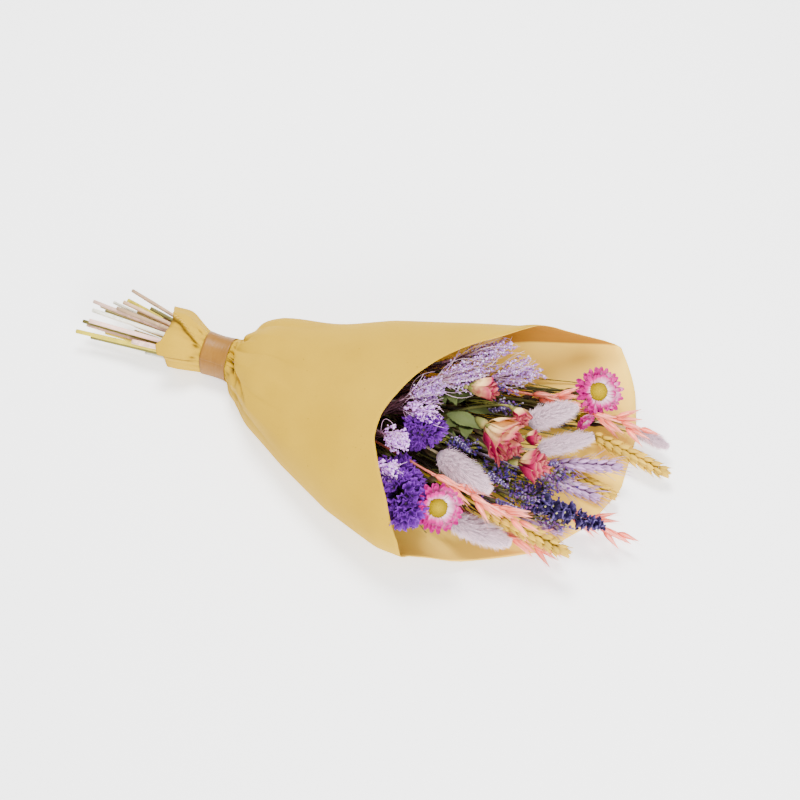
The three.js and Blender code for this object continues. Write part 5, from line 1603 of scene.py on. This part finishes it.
class BOUQUET_OT_lavender(Maker):
    """Make the buds of the lavender"""

    bl_idname = "bouquet.lavender"
    bl_label = "Lavender"

    def execute(self, context):
        colour = context.scene.bouquet_sprig.lavender
        stops = [(0.0, seen(112, 116, 74)), *shades(colour, (0.3, 0.6), (0.8, 1)),
                 (1.0, between(colour, (1, 1, 1), 0.3))]
        bud = tissue("lavender_bud", stops, rough=0.75, shift=0.5, light=0.6, grain=0.3, fine=1200)
        for plant in of_kind("lavender"):
            lavender_buds(plant).piece(plant.name + "_buds", bud, "lavender", plant.name)
        return {"FINISHED"}


class BOUQUET_OT_sea_lavender(Maker):
    """Make the tiny florets of the sea lavender"""

    bl_idname = "bouquet.sea_lavender"
    bl_label = "Sea lavender"

    def execute(self, context):
        florets, stalks = sea_lavender()
        florets.piece("sea_lavender_florets", sea_floret(), "lavender")
        stops = [(0.0, seen(60, 58, 40)), (0.6, seen(104, 104, 68)), (1.0, seen(140, 138, 96))]
        stalks.piece("sea_lavender_twigs", tissue("sea_lavender_twig", stops, shift=0.6), "dried_green")
        return {"FINISHED"}


class BOUQUET_OT_twigs(Maker):
    """Make the dark twigs between the flowers"""

    bl_idname = "bouquet.twigs"
    bl_label = "Dark twigs"

    def execute(self, context):
        sprig = context.scene.bouquet_sprig
        # Dark twigs whose colour is partly painted shade in the gaps between the flowers.
        stops = [*shades(sprig.twig, (0.0, 0.4), (0.6, 0.8)), (1.0, seen(84, 82, 58))]
        twig = tissue("dark_twig", stops, shift=0.7, light=0.8)
        dark_twigs(sprig.twigs).piece("dark_twigs", twig, "dried_green")
        return {"FINISHED"}


# The floor's reach each way, what the camera looks at, and the way from there to the camera
FLOOR_REACH = 6.0
VIEW_TARGET = (-0.0313, 0.02482, 0.02134)
VIEW_WAY = (0.18721, -0.54367, 0.99593)
# Lights: place, width and share of the main light's power
LIGHTS = {
    "main_light": ((0.9, -1.2, 0.65), 1.3, 1.0),
    "high_light": ((-0.25, 0.5, 1.25), 0.5, 0.58),
}


class BOUQUET_OT_stage(Maker):
    """Make the floor, the lights and the camera"""

    bl_idname = "bouquet.stage"
    bl_label = "Stage"

    def execute(self, context):
        scene = context.scene
        stage = scene.bouquet_stage
        mesh = bpy.data.meshes.new("floor")
        corners = [(x * FLOOR_REACH, y * FLOOR_REACH, 0) for x, y in ((-1, -1), (1, -1), (1, 1), (-1, 1))]
        mesh.from_pydata(corners, [], [(0, 1, 2, 3)])
        paint = Paint("floor", Emission_Strength=1.0, Emission_Color=(1, 1, 1, 1))
        mesh.materials.append(paint.finish(stage.floor, 0.9))
        floor = bpy.data.objects.new("floor", mesh)
        scene.collection.objects.link(floor)
        for name, (place, width, share) in LIGHTS.items():
            lamp = bpy.data.lights.new(name, "AREA")
            lamp.shape, lamp.size, lamp.energy = "DISK", width, stage.power * share
            light = bpy.data.objects.new(name, lamp)
            light.location = place
            light.rotation_euler = Vector(place).to_track_quat("Z", "Y").to_euler()
            scene.collection.objects.link(light)
        view = bpy.data.cameras.new("camera")
        view.lens, view.sensor_width, view.clip_end = stage.lens, 36, 20
        towards = Vector(VIEW_WAY).normalized()
        scene.camera = bpy.data.objects.new("camera", view)
        scene.camera.location = Vector(VIEW_TARGET) + towards * stage.distance
        scene.camera.rotation_euler = (-towards).to_track_quat("-Z", "Y").to_euler()
        scene.collection.objects.link(scene.camera)
        scene.world = bpy.data.worlds.new("surroundings")
        scene.world.use_nodes = True
        shader = scene.world.node_tree.nodes["Background"]
        shader.inputs["Color"].default_value = (1, 1, 1, 1)
        shader.inputs["Strength"].default_value = stage.sky
        return {"FINISHED"}


MAKERS = (
    BOUQUET_OT_wrap, BOUQUET_OT_stalks, BOUQUET_OT_roses, BOUQUET_OT_daisies, BOUQUET_OT_bunny_tails,
    BOUQUET_OT_wheat, BOUQUET_OT_oats, BOUQUET_OT_broom, BOUQUET_OT_statice, BOUQUET_OT_delphinium,
    BOUQUET_OT_lavender, BOUQUET_OT_sea_lavender, BOUQUET_OT_twigs, BOUQUET_OT_stage,
)
SETTINGS = {
    "bouquet_paper": PaperSettings,
    "bouquet_rose": RoseSettings,
    "bouquet_daisy": DaisySettings,
    "bouquet_grass": GrassSettings,
    "bouquet_sprig": SprigSettings,
    "bouquet_stage": StageSettings,
}


class BOUQUET_PT_panel(bpy.types.Panel):
    """Lists the bouquet's settings and the operators that make its pieces"""

    bl_label = "Mixed Flower Bouquet"
    bl_space_type = "VIEW_3D"
    bl_region_type = "UI"
    bl_category = "Bouquet"

    def draw(self, context):
        for key, group in SETTINGS.items():
            box = self.layout.box()
            for setting in group.__annotations__:
                box.prop(getattr(context.scene, key), setting)
        for maker in MAKERS:
            self.layout.operator(maker.bl_idname)


def register():
    """Registers the classes and gives each scene its settings."""
    for cls in (*SETTINGS.values(), *MAKERS, BOUQUET_PT_panel):
        bpy.utils.register_class(cls)
    for key, group in SETTINGS.items():
        setattr(bpy.types.Scene, key, PointerProperty(type=group))


def unregister():
    """Takes the settings and the classes away again."""
    for key in SETTINGS:
        delattr(bpy.types.Scene, key)
    for cls in (BOUQUET_PT_panel, *reversed(MAKERS), *reversed(SETTINGS.values())):
        bpy.utils.unregister_class(cls)


def main():
    """Runs the operators in order."""
    register()
    for maker in MAKERS:
        group, call = maker.bl_idname.split(".")
        getattr(getattr(bpy.ops, group), call)()
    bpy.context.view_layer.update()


if __name__ == "__main__":
    main()
